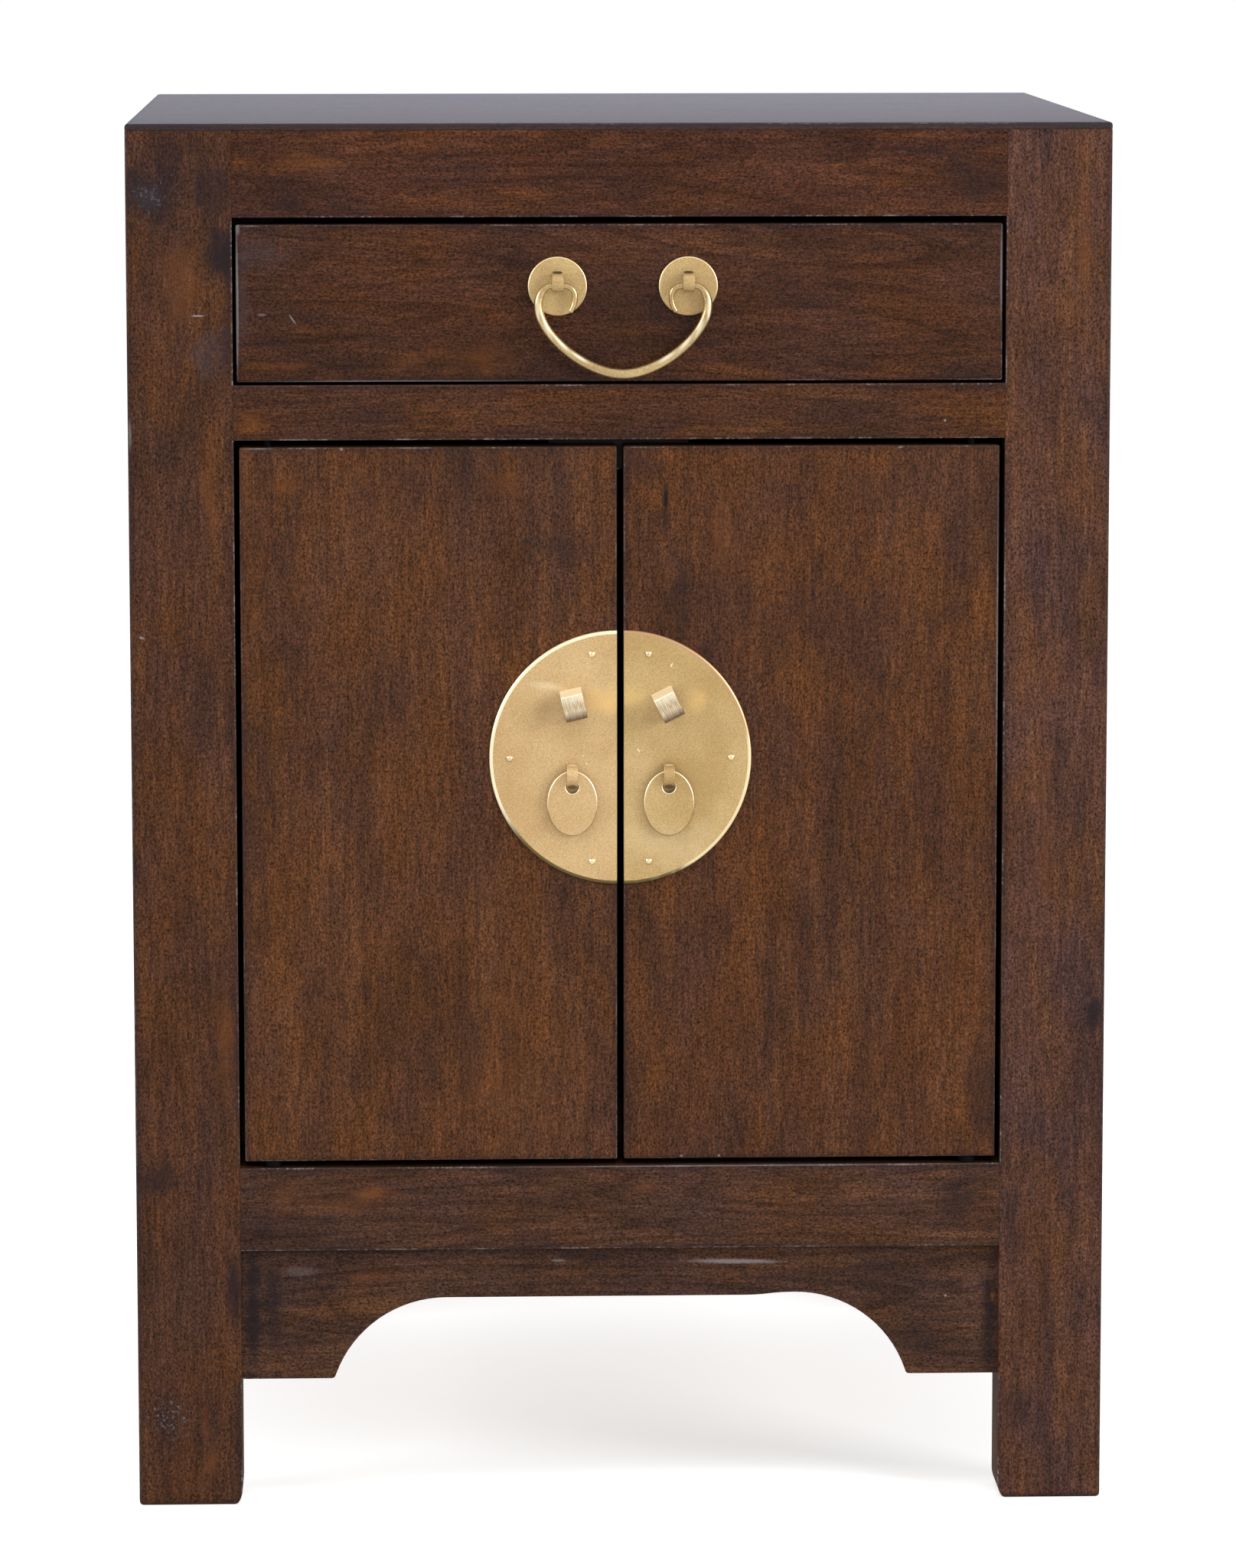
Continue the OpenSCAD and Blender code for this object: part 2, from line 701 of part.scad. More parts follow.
module back_panel() {
    edge_x = inner_x + rebate_w - seat_gap;
    color(raw_wood) difference() {
        box([-edge_x, back_panel_y0, bottom_rail_z0], [edge_x, back_panel_y1, frame_z1 - seat_gap]);
        back_screw_holes();
    }
}

module back_panel_screws() {
    color(steel) at_back_screws() screw(back_screw_d, back_screw_l);
}

module floor_board() {
    color(raw_wood) frame_board(bottom_rail_z1 - floor_t, bottom_rail_z1);
}

// A pair of square cleats with their tops at z1 and their outer faces at x1
module cleats(x1, z1) {
    at_both_sides() box([x1 - cleat_size, inside_y0, z1 - cleat_size], [x1, inside_y1, z1]);
}

module floor_cleats() {
    color(raw_wood) cleats(side_rail_x0, bottom_rail_z1 - floor_t);
}

module divider_board() {
    color(raw_wood) difference() {
        translate([0, 0, mid_rail_z0]) linear_extrude(divider_t)
            inside_plan(panel_x0 - seat_gap, front_y + rail_t + seat_gap, back_panel_y0 - seat_gap);
        at_catch_screws() shank_hole(catch_screw_d, catch_h + catch_screw_hold);
    }
}

module divider_cleats() {
    color(raw_wood) cleats(panel_x0, mid_rail_z0);
}

// L-shaped strip: the drawer side runs on its ledge and along its guide
module drawer_runner(side) {
    ledge_x = inner_x - runner_ledge;
    guide_z1 = runner_z1 + guide_h;
    color(raw_wood) at_side(side) extrude_y(inside_y0, inside_y1) polygon([
        [ledge_x, divider_z1], [panel_x0, divider_z1], [panel_x0, guide_z1],
        [inner_x, guide_z1], [inner_x, runner_z1], [ledge_x, runner_z1]
    ]);
}

module drawer_kickers() {
    color(raw_wood) at_both_sides()
        box([inner_x - runner_ledge, inside_y0, kicker_z0], [side_rail_x0, inside_y1, kicker_z0 + kicker_t]);
}

module drawer_stops() {
    color(raw_wood) at_both_sides()
        box([drawer_x - drawer_side_t, drawer_stop_y, runner_z1],
            [drawer_x, inside_y1, runner_z1 + stop_size]);
}

// Lower pin with the collar that carries the door, and upper pin
module door_pivots(side) {
    color(steel) at_side(side) translate([pivot_x, pivot_y, 0]) {
        translate([0, 0, bottom_rail_z1 - pivot_hold])
            cylinder(d = pivot_d, h = door_gap_bottom + 2 * pivot_hold);
        translate([0, 0, bottom_rail_z1]) cylinder(d = collar_d, h = door_gap_bottom - seat_gap);
        translate([0, 0, door_z1 - pivot_hold]) cylinder(d = pivot_d, h = door_gap_top + 2 * pivot_hold);
    }
}

module at_catch_screws() {
    for (x = [-magnet_x1, 0, magnet_x1]) translate([x, catch_screw_y, catch_z0]) children();
}

module magnets(grow = 0) {
    y0 = grow > 0 ? catch_y0 - over : catch_y0;
    at_both_sides()
        box([magnet_x1 - magnet_w - grow, y0, strike_z - magnet_h / 2 - grow],
            [magnet_x1 + grow, catch_y0 + magnet_d + grow, strike_z + magnet_h / 2 + grow]);
}

module catch_housing() {
    color(nylon) difference() {
        box([-catch_x1, catch_y0, catch_z0], [catch_x1, catch_y0 + catch_d, mid_rail_z0]);
        magnets(glue_gap);
        at_catch_screws() shank_hole(catch_screw_d, catch_h);
    }
}

module catch_magnets() {
    color(steel) magnets();
}

module catch_screws() {
    color(steel) at_catch_screws() screw(catch_screw_d, catch_h + catch_screw_hold);
}

// Drawer bottom, or with grow the groove that takes it
module drawer_bottom_body(grow = 0) {
    reach = grow > 0 ? drawer_groove_d : drawer_groove_d - end_gap;
    edge_x = drawer_x - drawer_side_t + reach;
    y1 = grow > 0 ? drawer_y1 + over : drawer_y1;
    box([-edge_x, drawer_front_y1 - reach, drawer_bottom_z0 - grow], [edge_x, y1, drawer_bottom_z1 + grow]);
}

module drawer_front() {
    color(stain) difference() {
        eased_board([-drawer_x, front_y, drawer_z0], [drawer_x, drawer_front_y1, drawer_z1], front_r);
        drawer_bottom_body(glue_gap);
        for (x = [rosette_x_left, rosette_x_right]) bail_strap_slots(x);
    }
}

module drawer_side(side) {
    color(raw_wood) at_side(side) difference() {
        box([drawer_x - drawer_side_t, drawer_front_y1, drawer_z0], [drawer_x, drawer_y1, drawer_side_z1]);
        drawer_bottom_body(glue_gap);
    }
}

module drawer_back() {
    edge_x = drawer_x - drawer_side_t;
    color(raw_wood) box([-edge_x, drawer_y1 - drawer_back_t, drawer_bottom_z1],
                        [edge_x, drawer_y1, drawer_side_z1]);
}

module drawer_bottom() {
    color(raw_wood) drawer_bottom_body();
}

// Section of a strap t thick, [y, z]: outer and inner are the two faces of
// its loop from below upwards, and its ends are bent flat behind the wood
function clinched(outer, inner, t, wood_t) =
    let (low = outer[0].y, high = outer[len(outer) - 1].y, back = wood_t + t)
    concat(
        [[back, low - clinch_l], [wood_t, low - clinch_l], [wood_t, low]],
        outer,
        [[wood_t, high], [wood_t, high + clinch_l], [back, high + clinch_l], [back, high - t]],
        reversed(inner),
        [[back, low + t]]
    );

// One face of a strap's loop, at distance r from its eye's middle, [y, z]
function loop_edge(leg, r, rise) = concat(
    arc([-leg, 0], r, -90, -180, 10),
    rise > 0 ? [[-leg - r, rise]] : [],
    [for (i = [1:10]) [-leg - r * cos(9 * i), rise + r * sin(9 * i)]]
);

// Strap that comes out of a plate, goes round an eye and back through the
// wood; the plate's face is at zero
module strap(leg, r, rise, width, wood_t) {
    extrude_x(-width / 2, width / 2)
        polygon(clinched(loop_edge(leg, r + strap_t, rise), loop_edge(leg, r, rise), strap_t, wood_t));
}

module strap_slots(z0, z1, width, t, wood_t) {
    for (z = [z0, z1 - t])
        box([-width / 2 - slot_gap, -over, z - slot_gap],
            [width / 2 + slot_gap, wood_t + over, z + t + slot_gap]);
}

module bail_strap_slots(x) {
    edge_r = bail_eye_r + strap_t;
    translate([x, rosette_y, bail_eye_z])
        strap_slots(-edge_r, bail_eye_rise + edge_r, bail_strap_w, strap_t, rosette_wood_t);
}

module rosette(x) {
    color(brass) difference() {
        translate([x, front_y, rosette_z]) rotate([90, 0, 0]) cylinder(d = rosette_d, h = rosette_t);
        bail_strap_slots(x);
    }
}

module bail_strap(x) {
    color(brass) translate([x, rosette_y, bail_eye_z])
        strap(bail_leg, bail_eye_r, bail_eye_rise, bail_strap_w, rosette_wood_t);
}

// Right half of the bail's centre line as four curves, from its middle up the
// side, over the shoulder, straight through the strap and round to its curled
// end, [x, z]. The bow's ends run straight for these lengths at first.
bow_run_mid = 16;
bow_run_side = 12;
strap_x = pull_spread / 2;
side_x = strap_x + bail_flare;
eye_run = bail_strap_w / 2 + seat_gap;
shoulder_top = [strap_x + eye_run, 0];
curl_top = [strap_x - eye_run, 0];
curl_end = [strap_x - 2 * eye_run, -bail_curl];
bail_curves = [
    [[0, -bail_drop], [bow_run_mid, -bail_drop],
     [side_x, -bail_shoulder - bow_run_side], [side_x, -bail_shoulder]],
    [[side_x, -bail_shoulder], [side_x, -bail_shoulder / 2],
     [side_x - bail_flare / 4, 0], shoulder_top],
    [shoulder_top, shoulder_top, curl_top, curl_top],
    [curl_top, curl_top - [5, 0], curl_end + [-3.5, bail_curl / 2], curl_end]
];
bail_ds = [bail_d, bail_side_d, bail_eye_d, bail_eye_d, bail_end_d];
curve_steps = [10, 7, 2, 8];
bail_sides = 12;

// Half of the bail as points [x, z, radius], and then the whole of it
bail_half = concat(
    [[0, -bail_drop, bail_d / 2]],
    [for (k = [0:3])
        let (points = curve(bail_curves[k], curve_steps[k]))
        for (i = [1:curve_steps[k]])
            let (t = i / curve_steps[k], share = t * t * (3 - 2 * t))
            let (d = bail_ds[k] + (bail_ds[k + 1] - bail_ds[k]) * share)
            [points[i - 1].x, points[i - 1].y, d / 2]]
);
half_count = len(bail_half);
bail_path = concat(
    [for (i = [half_count - 1:-1:1]) [-bail_half[i].x, bail_half[i].y, bail_half[i].z]],
    bail_half
);
path_count = len(bail_path);

// Direction across the bail at one point of its path, in the X-Z plane
function bail_across(i) =
    let (run = bail_path[min(path_count - 1, i + 1)] - bail_path[max(0, i - 1)])
    [run.y, -run.x] / norm([run.x, run.y]);

module drawer_bail() {
    points = [for (i = [0:path_count - 1], k = [0:bail_sides - 1])
        let (p = bail_path[i], across = bail_across(i), a = 360 * k / bail_sides)
        [p.x + p.z * cos(a) * across.x, p.z * sin(a), p.y + p.z * cos(a) * across.y]];
    skin = [for (i = [0:path_count - 2], k = [0:bail_sides - 1])
        let (n = (k + 1) % bail_sides, a = i * bail_sides, b = a + bail_sides)
        [a + k, b + k, b + n, a + n]];
    first_end = [for (k = [0:bail_sides - 1]) k];
    last_end = [for (k = [bail_sides - 1:-1:0]) (path_count - 1) * bail_sides + k];
    color(brass) translate([pull_shift, bail_y, bail_z])
        polyhedron(points, concat(skin, [first_end], [last_end]), convexity = 6);
}

// Running holes for the two pivot pins in a right-hand door
module pivot_holes() {
    depth = pivot_hold + end_gap;
    for (z0 = [door_z0 - over, door_z1 - depth]) translate([pivot_x, pivot_y, z0])
        cylinder(r = pivot_d / 2 + pivot_fit, h = depth + over);
}

module door(side, turn) {
    color(stain) difference() {
        at_side(side) difference() {
            eased_board([door_x0, front_y, door_z0], [door_x1, door_back_y, door_z1], front_r);
            pivot_holes();
            nail_holes();
            at_strike_screw() shank_hole(strike_screw_d, strike_screw_l);
            pull_strap_slots();
        }
        staple_slots(side, turn);
    }
}

// Half of the round plate, cut off straight at the door's free edge
module round_plate(side, turn) {
    color(brass) difference() {
        at_side(side) difference() {
            translate([door_x0, front_y, plate_z]) rotate([90, 0, 0]) {
                cylinder(r = plate_r, h = plate_t - plate_bevel, $fn = 120);
                translate([0, 0, plate_t - plate_bevel])
                    cylinder(r1 = plate_r, r2 = plate_r - plate_bevel, h = plate_bevel, $fn = 120);
            }
            box([door_x0 - plate_r - over, plate_y - over, plate_z - plate_r - over],
                [door_x0, front_y + over, plate_z + plate_r + over]);
            nail_holes();
            pull_strap_slots();
        }
        staple_slots(side, turn);
    }
}

// Puts its children, drawn along +Z, at each nail of a right-hand plate
module at_nails() {
    for (a = [-nail_angle, 0, nail_angle])
        translate([door_x0 + nail_ring_r * cos(a), plate_y, plate_z + nail_ring_r * sin(a)])
            rotate([-90, 0, 0]) children();
}

module nail_holes() {
    at_nails() shank_hole(nail_shank_d, plate_t + nail_l);
}

module nail() {
    dome_r = (pow(nail_head_d / 2, 2) + pow(nail_head_h, 2)) / (2 * nail_head_h);
    cylinder(d = nail_shank_d, h = plate_t + nail_l);
    intersection() {
        translate([0, 0, dome_r - nail_head_h]) sphere(r = dome_r);
        translate([0, 0, -nail_head_h]) cylinder(d = nail_head_d + over, h = nail_head_h);
    }
}

module plate_nails(side) {
    color(brass) at_side(side) at_nails() nail();
}

// One face of a staple's loop, inset from its outer face; its front is bent
// over with a tight upper and a wide lower bend, [y, z]
staple_top_r = 1.6;
staple_low_r = 4;
staple_half_h = staple_h / 2;

function staple_edge(inset) = concat(
    arc([staple_low_r - staple_reach, staple_low_r - staple_half_h], staple_low_r - inset, -90, -180, 8),
    arc([staple_top_r - staple_reach, staple_half_h - staple_fall - staple_top_r],
        staple_top_r - inset, 180, 90, 4),
    [[0, staple_half_h - inset]]
);

module at_staple(side, turn) {
    translate([side * (door_x0 + staple_x), plate_y, plate_z + staple_rise]) rotate([0, -turn, 0]) children();
}

module staple_slots(side, turn) {
    at_staple(side, turn) strap_slots(-staple_half_h, staple_half_h, staple_w, staple_t, plate_wood_t);
}

module lock_staple(side, turn) {
    color(brass) at_staple(side, turn) extrude_x(-staple_w / 2, staple_w / 2)
        polygon(clinched(staple_edge(0), staple_edge(staple_t), staple_t, plate_wood_t));
}

module pull_strap_slots() {
    edge_r = pull_eye_r + strap_t;
    translate([door_x0 + pull_x, plate_y, pull_axis_z])
        strap_slots(-edge_r, edge_r, pull_strap_w, strap_t, plate_wood_t);
}

module pull_strap(side) {
    color(brass) at_side(side) translate([door_x0 + pull_x, plate_y, pull_axis_z])
        strap(pull_leg, pull_eye_r, 0, pull_strap_w, plate_wood_t);
}

// Oval plate that hangs from its strap by a round hole near its top
module oval_pull(side) {
    color(brass) at_side(side) translate([door_x0 + pull_x, pull_axis_y, pull_axis_z]) difference() {
        extrude_y(-pull_t / 2, pull_t / 2)
            polygon(ellipse([0, pull_top_z - pull_h / 2], [pull_w / 2, pull_h / 2], 60));
        translate([0, -pull_t, pull_hole_z]) rotate([-90, 0, 0]) cylinder(r = pull_hole_r, h = 2 * pull_t);
    }
}

module at_strike_screw() {
    translate([strike_x, door_back_y + strike_t, strike_z]) rotate([90, 0, 0]) children();
}

module strike(side) {
    color(steel) at_side(side) difference() {
        box([strike_x0, door_back_y, strike_z1 - strike_h],
            [strike_x0 + strike_w, door_back_y + strike_t, strike_z1]);
        at_strike_screw() shank_hole(strike_screw_d, strike_screw_l);
    }
}

module strike_screw(side) {
    color(steel) at_side(side) at_strike_screw() cylinder(d = strike_screw_d, h = strike_screw_l);
}

top_board();
front_leg(-1);  // front_leg_left
front_leg(1);  // front_leg_right
rear_leg(-1);  // rear_leg_left
rear_leg(1);  // rear_leg_right
top_rail();
mid_rail();
bottom_rail();
apron();
side_top_rail(-1);  // side_top_rail_left
side_top_rail(1);  // side_top_rail_right
side_bottom_rail(-1);  // side_bottom_rail_left
side_bottom_rail(1);  // side_bottom_rail_right
side_panel(-1);  // side_panel_left
side_panel(1);  // side_panel_right
back_top_rail();
back_bottom_rail();
back_panel();
back_panel_screws();
floor_board();
floor_cleats();
divider_board();
divider_cleats();
drawer_runner(-1);  // drawer_runner_left
drawer_runner(1);  // drawer_runner_right
drawer_kickers();
drawer_stops();
door_pivots(-1);  // door_pivots_left
door_pivots(1);  // door_pivots_right
catch_housing();
catch_magnets();
catch_screws();
drawer_front();
drawer_side(-1);  // drawer_side_left
drawer_side(1);  // drawer_side_right
drawer_back();
drawer_bottom();
rosette(rosette_x_left);  // rosette_left
rosette(rosette_x_right);  // rosette_right
bail_strap(rosette_x_left);  // bail_strap_left
bail_strap(rosette_x_right);  // bail_strap_right
drawer_bail();
door(-1, staple_turn_left);  // door_left
round_plate(-1, staple_turn_left);  // round_plate_left
plate_nails(-1);  // plate_nails_left
lock_staple(-1, staple_turn_left);  // lock_staple_left
pull_strap(-1);  // pull_strap_left
strike(-1);  // strike_left
strike_screw(-1);  // strike_screw_left
oval_pull(-1);  // oval_pull_left
door(1, staple_turn_right);  // door_right
round_plate(1, staple_turn_right);  // round_plate_right
plate_nails(1);  // plate_nails_right
lock_staple(1, staple_turn_right);  // lock_staple_right
pull_strap(1);  // pull_strap_right
strike(1);  // strike_right
strike_screw(1);  // strike_screw_right
oval_pull(1);  // oval_pull_right
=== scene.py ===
"""Nightstand with a drawer over a two-door cupboard, in walnut stain and satin brass.

The wooden boards are the frame's own solids, and the outer ones are copied with eased arrises. The brass
that the photograph shows closely is made here as smooth surfaces, and stands for the plainer solids.
Sizes are in millimetres and become metres where a mesh is made. X runs across the front, Y from the
front to the back and Z up.
"""

from __future__ import annotations

import json
import logging
import math
from dataclasses import dataclass, field, replace
from enum import Enum, Flag, auto
from typing import Callable, Iterable

import bmesh
import bpy
import numpy as np
from mathutils import Matrix, Vector

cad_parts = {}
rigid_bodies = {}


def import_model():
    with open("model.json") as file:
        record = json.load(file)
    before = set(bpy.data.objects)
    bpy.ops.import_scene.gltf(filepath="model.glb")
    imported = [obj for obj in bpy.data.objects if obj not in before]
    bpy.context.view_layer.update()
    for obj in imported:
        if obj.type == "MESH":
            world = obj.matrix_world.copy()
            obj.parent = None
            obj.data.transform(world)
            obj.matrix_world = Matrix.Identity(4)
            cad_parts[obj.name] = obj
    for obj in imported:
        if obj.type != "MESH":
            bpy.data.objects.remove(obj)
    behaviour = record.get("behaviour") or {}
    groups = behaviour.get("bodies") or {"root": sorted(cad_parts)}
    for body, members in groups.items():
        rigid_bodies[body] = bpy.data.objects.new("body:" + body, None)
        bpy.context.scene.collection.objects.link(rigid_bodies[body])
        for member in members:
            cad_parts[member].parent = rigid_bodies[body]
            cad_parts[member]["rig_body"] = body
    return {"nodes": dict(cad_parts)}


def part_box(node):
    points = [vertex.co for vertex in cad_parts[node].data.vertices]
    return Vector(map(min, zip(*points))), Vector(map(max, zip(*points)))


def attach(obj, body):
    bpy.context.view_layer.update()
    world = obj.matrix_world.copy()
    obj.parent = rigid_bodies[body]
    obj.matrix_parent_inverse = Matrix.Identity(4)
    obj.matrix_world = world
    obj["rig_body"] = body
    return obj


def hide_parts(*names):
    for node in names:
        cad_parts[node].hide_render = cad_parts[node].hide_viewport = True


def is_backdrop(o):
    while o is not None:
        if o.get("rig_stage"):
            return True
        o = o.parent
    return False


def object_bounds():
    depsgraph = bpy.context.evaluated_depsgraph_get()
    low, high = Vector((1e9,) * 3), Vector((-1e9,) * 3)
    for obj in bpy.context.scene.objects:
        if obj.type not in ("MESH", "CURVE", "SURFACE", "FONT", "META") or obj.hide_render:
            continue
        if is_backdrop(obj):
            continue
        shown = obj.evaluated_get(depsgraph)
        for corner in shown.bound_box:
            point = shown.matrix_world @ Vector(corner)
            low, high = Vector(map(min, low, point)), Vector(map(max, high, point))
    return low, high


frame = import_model()
cad_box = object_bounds()

log = logging.getLogger("nightstand")

MM = 0.001
CLOSE = 1e-5  # metres within which a point lies on a face

Outline = Callable[[float], np.ndarray]
Piece = bpy.types.Object
Material = bpy.types.Material
Tree = bpy.types.NodeTree
Socket = bpy.types.NodeSocket
Span = tuple[float, float]
Colour = tuple[float, float, float, float]
Value = Socket | float | tuple[float, ...]


class Axis(Enum):
    """The direction in which a board's grain runs."""

    X = 0
    Y = 1
    Z = 2

    def drawn_out(self, ratio: float) -> tuple[float, float, float]:
        """Return factors that draw a pattern out along this axis by a ratio.

        Args:
            ratio: How many times as long the pattern gets.

        Returns:
            A factor for each axis.
        """
        factors = [1.0, 1.0, 1.0]
        factors[self.value] = 1 / ratio
        return tuple(factors)

    def turned(self, angle: float) -> list[float]:
        """Return a rotation about this axis, by an angle in radians."""
        return [angle * (axis is self) for axis in Axis]


class Face(Flag):
    """The faces of a board."""

    LEFT = auto()
    RIGHT = auto()
    FRONT = auto()
    BACK = auto()
    BOTTOM = auto()
    TOP = auto()
    ENDS = LEFT | RIGHT
    DEPTH = FRONT | BACK

    @property
    def plane(self) -> tuple[int, int]:
        """The face's axis, and 0 where it is the lower face or 1 where it is the higher one."""
        place = (Face.LEFT, Face.RIGHT, Face.FRONT, Face.BACK, Face.BOTTOM, Face.TOP).index(self)
        return place // 2, place % 2


class Side(Enum):
    """The left or the right of the object, seen from the front."""

    LEFT = -1
    RIGHT = 1

    @property
    def word(self) -> str:
        """The side's name as the frame's nodes have it."""
        return self.name.lower()


# Colour and nodes


def linear(colour: str) -> Colour:
    """Turn an sRGB colour into the linear one that the shaders take.

    Args:
        colour: The colour as "#RRGGBB".

    Returns:
        Red, green, blue and an alpha of one.
    """
    parts = [int(colour[i:i + 2], 16) / 255 for i in (1, 3, 5)]
    return (*[p / 12.92 if p <= 0.04045 else ((p + 0.055) / 1.055) ** 2.4 for p in parts], 1.0)


def per(size: float) -> float:
    """Return the texture scale whose pattern repeats about every size millimetres."""
    return 1 / (size * MM)


def add(
    tree: Tree, kind: str, inputs: dict[str | int, Value] | None = None, output: str = "", **settings: object
) -> Socket | None:
    """Add a node, with its settings, its values and the links that come into it.

    Args:
        tree: The node tree that gets the node.
        kind: The node's type, less the words that all shader nodes' types begin with.
        inputs: A value, or a socket to link from, for each input named or numbered here.
        output: The name of the output that is wanted, where it isn't the first one in use.
        settings: The node's own properties.

    Returns:
        The output, or nothing for a node that ends a tree.
    """
    node = tree.nodes.new(f"ShaderNode{kind}")
    for name, value in settings.items():
        setattr(node, name, value)
    for name, value in (inputs or {}).items():
        if isinstance(value, Socket):
            tree.links.new(value, node.inputs[name])
        else:
            node.inputs[name].default_value = value
    return node.outputs[output] if output else next((plug for plug in node.outputs if plug.enabled), None)


def blank(name: str) -> tuple[Material, Tree]:
    """Return a new material, and its node tree, which is empty.

    Args:
        name: The material's name.

    Returns:
        The material and the tree.
    """
    material = bpy.data.materials.new(name)
    material.use_nodes = True
    material.node_tree.nodes.clear()
    return material, material.node_tree


def surface(tree: Tree, inputs: dict[str | int, Value]) -> None:
    """End a material's tree with a Principled surface that has these inputs."""
    add(tree, "OutputMaterial", {"Surface": add(tree, "BsdfPrincipled", inputs)})


def over(
    tree: Tree, under: Socket | Colour, paint: Socket | Colour, value: Socket, levels: Span,
    shares: Span = (0.0, 1.0), soft: bool = True,
) -> Socket:
    """Lay one colour over another, in a share that follows a value.

    Args:
        tree: The material's nodes.
        under: The colour that lies under.
        paint: The colour that is laid over it.
        value: What the share follows.
        levels: The two levels of the value between which the share changes.
        shares: The paint's share at the one level and at the other.
        soft: Whether the share eases in and out, instead of changing evenly.

    Returns:
        The mixed colour.
    """
    inputs = dict(enumerate((value, *levels, *shares)))
    share = add(tree, "MapRange", inputs, interpolation_type="SMOOTHSTEP" if soft else "LINEAR")
    return add(tree, "Mix", {0: share, 6: under, 7: paint}, data_type="RGBA")


def shaded(
    tree: Tree, colour: Socket | Colour, value: Socket, levels: Span, factors: Span, soft: bool = False
) -> Socket:
    """Multiply a colour by a factor that follows a value.

    Args:
        tree: The material's nodes.
        colour: The colour.
        value: What the factor follows.
        levels: The two levels of the value between which the factor changes.
        factors: The factor at the one level and at the other.
        soft: Whether the factor eases in and out, instead of changing evenly.

    Returns:
        The darkened or lightened colour.
    """
    inputs = dict(enumerate((value, *levels, *factors)))
    factor = add(tree, "MapRange", inputs, interpolation_type="SMOOTHSTEP" if soft else "LINEAR")
    return add(tree, "Mix", {0: 1.0, 6: colour, 7: factor}, data_type="RGBA", blend_type="MULTIPLY")


def along(
    tree: Tree, grain: Axis, place: Socket, size: float, ratio: float, detail: float, bend: float = 0.0,
    rough: float = 0.6,
) -> Socket:
    """Make a noise that is drawn out along a grain.

    Args:
        tree: The material's nodes.
        grain: The grain's direction.
        place: The board's own coordinates.
        size: The noise's size across the grain, in mm.
        ratio: How many times as long it is along the grain.
        detail: How many finer noises it holds.
        bend: How much it is distorted.
        rough: How strong its finer noises are.

    Returns:
        The noise, from 0 to 1.
    """
    drawn = add(tree, "VectorMath", {0: place, 1: grain.drawn_out(ratio)}, operation="MULTIPLY")
    return add(tree, "TexNoise", {
        "Vector": drawn, "Scale": per(size), "Detail": detail, "Roughness": rough, "Distortion": bend,
    })


# Finishes of the wood


class Mark(Enum):
    """What marks a surface in one place: stains and wear, and painted shadows, highlights and reflections.

    Each has its colour there, how ragged its edge is, how sparse it is, the share of its width
    over which it has its full strength, and whether its edge drifts slowly or is speckled.
    """

    GLAZE = ("#1d1619", 3.0, 0.0, 0.1, True)  # stain that was left thick, violet-black
    BARE = ("#6f421f", 3.0, 0.0, -0.1, True)  # stain rubbed thin, with the wood's orange under it
    SCRATCH = ("#8f8888", 0.5, 0.0, 0.3, False)  # a whitish scratch or scuff in the lacquer; a long thin one along an arris is a painted highlight
    SPECKS = ("#8d8a8d", 7.0, 0.9, 0.1, False)  # a sprinkling of pale specks
    HAZE = ("#50484e", 3.0, 0.0, -0.1, True)  # a lilac-grey bloom in the lacquer
    KNOT = ("#150d0a", 0.4, 0.0, 0.4, False)  # a small dark knot
    NICK = ("#fff6de", 0.3, 0.0, 0.5, False)  # a bright nick in brass; a long thin one along the top of a pull strap's slot is a painted highlight
    POLISH = ("#f0c67c", 1.0, 0.0, 0.1, True)  # a painted warm reflection of light, thrown from a staple onto the plate beside it
    GLEAM = ("#f4dfba", 1.0, 0.0, 0.0, True)  # a painted pale highlight on brass, beside a staple and on the lower right plate
    TARNISH = ("#7d5c36", 1.0, 0.0, 0.1, True)  # a painted brown shadow beside a staple
    SHINE = ("#fff3d0", 0.6, 0.0, 0.0, False)  # a painted highlight on brass, where light falls along the bail
    SLOT = ("#3a2812", 0.2, 0.0, 0.7, False)  # painted shadow in the open end of the slot over a strap, and in a pull's hole

    def __init__(self, colour: str, ragged: float, sparse: float, core: float, drifts: bool) -> None:
        """Keep the mark's values under their names.

        Args:
            colour: The mark's colour.
            ragged: How ragged its edge is.
            sparse: How sparse it is.
            core: The share of its width over which it has its full strength.
            drifts: Whether its edge drifts slowly, instead of being speckled.
        """
        self.colour = colour
        self.ragged = ragged
        self.sparse = sparse
        self.core = core
        self.drifts = drifts


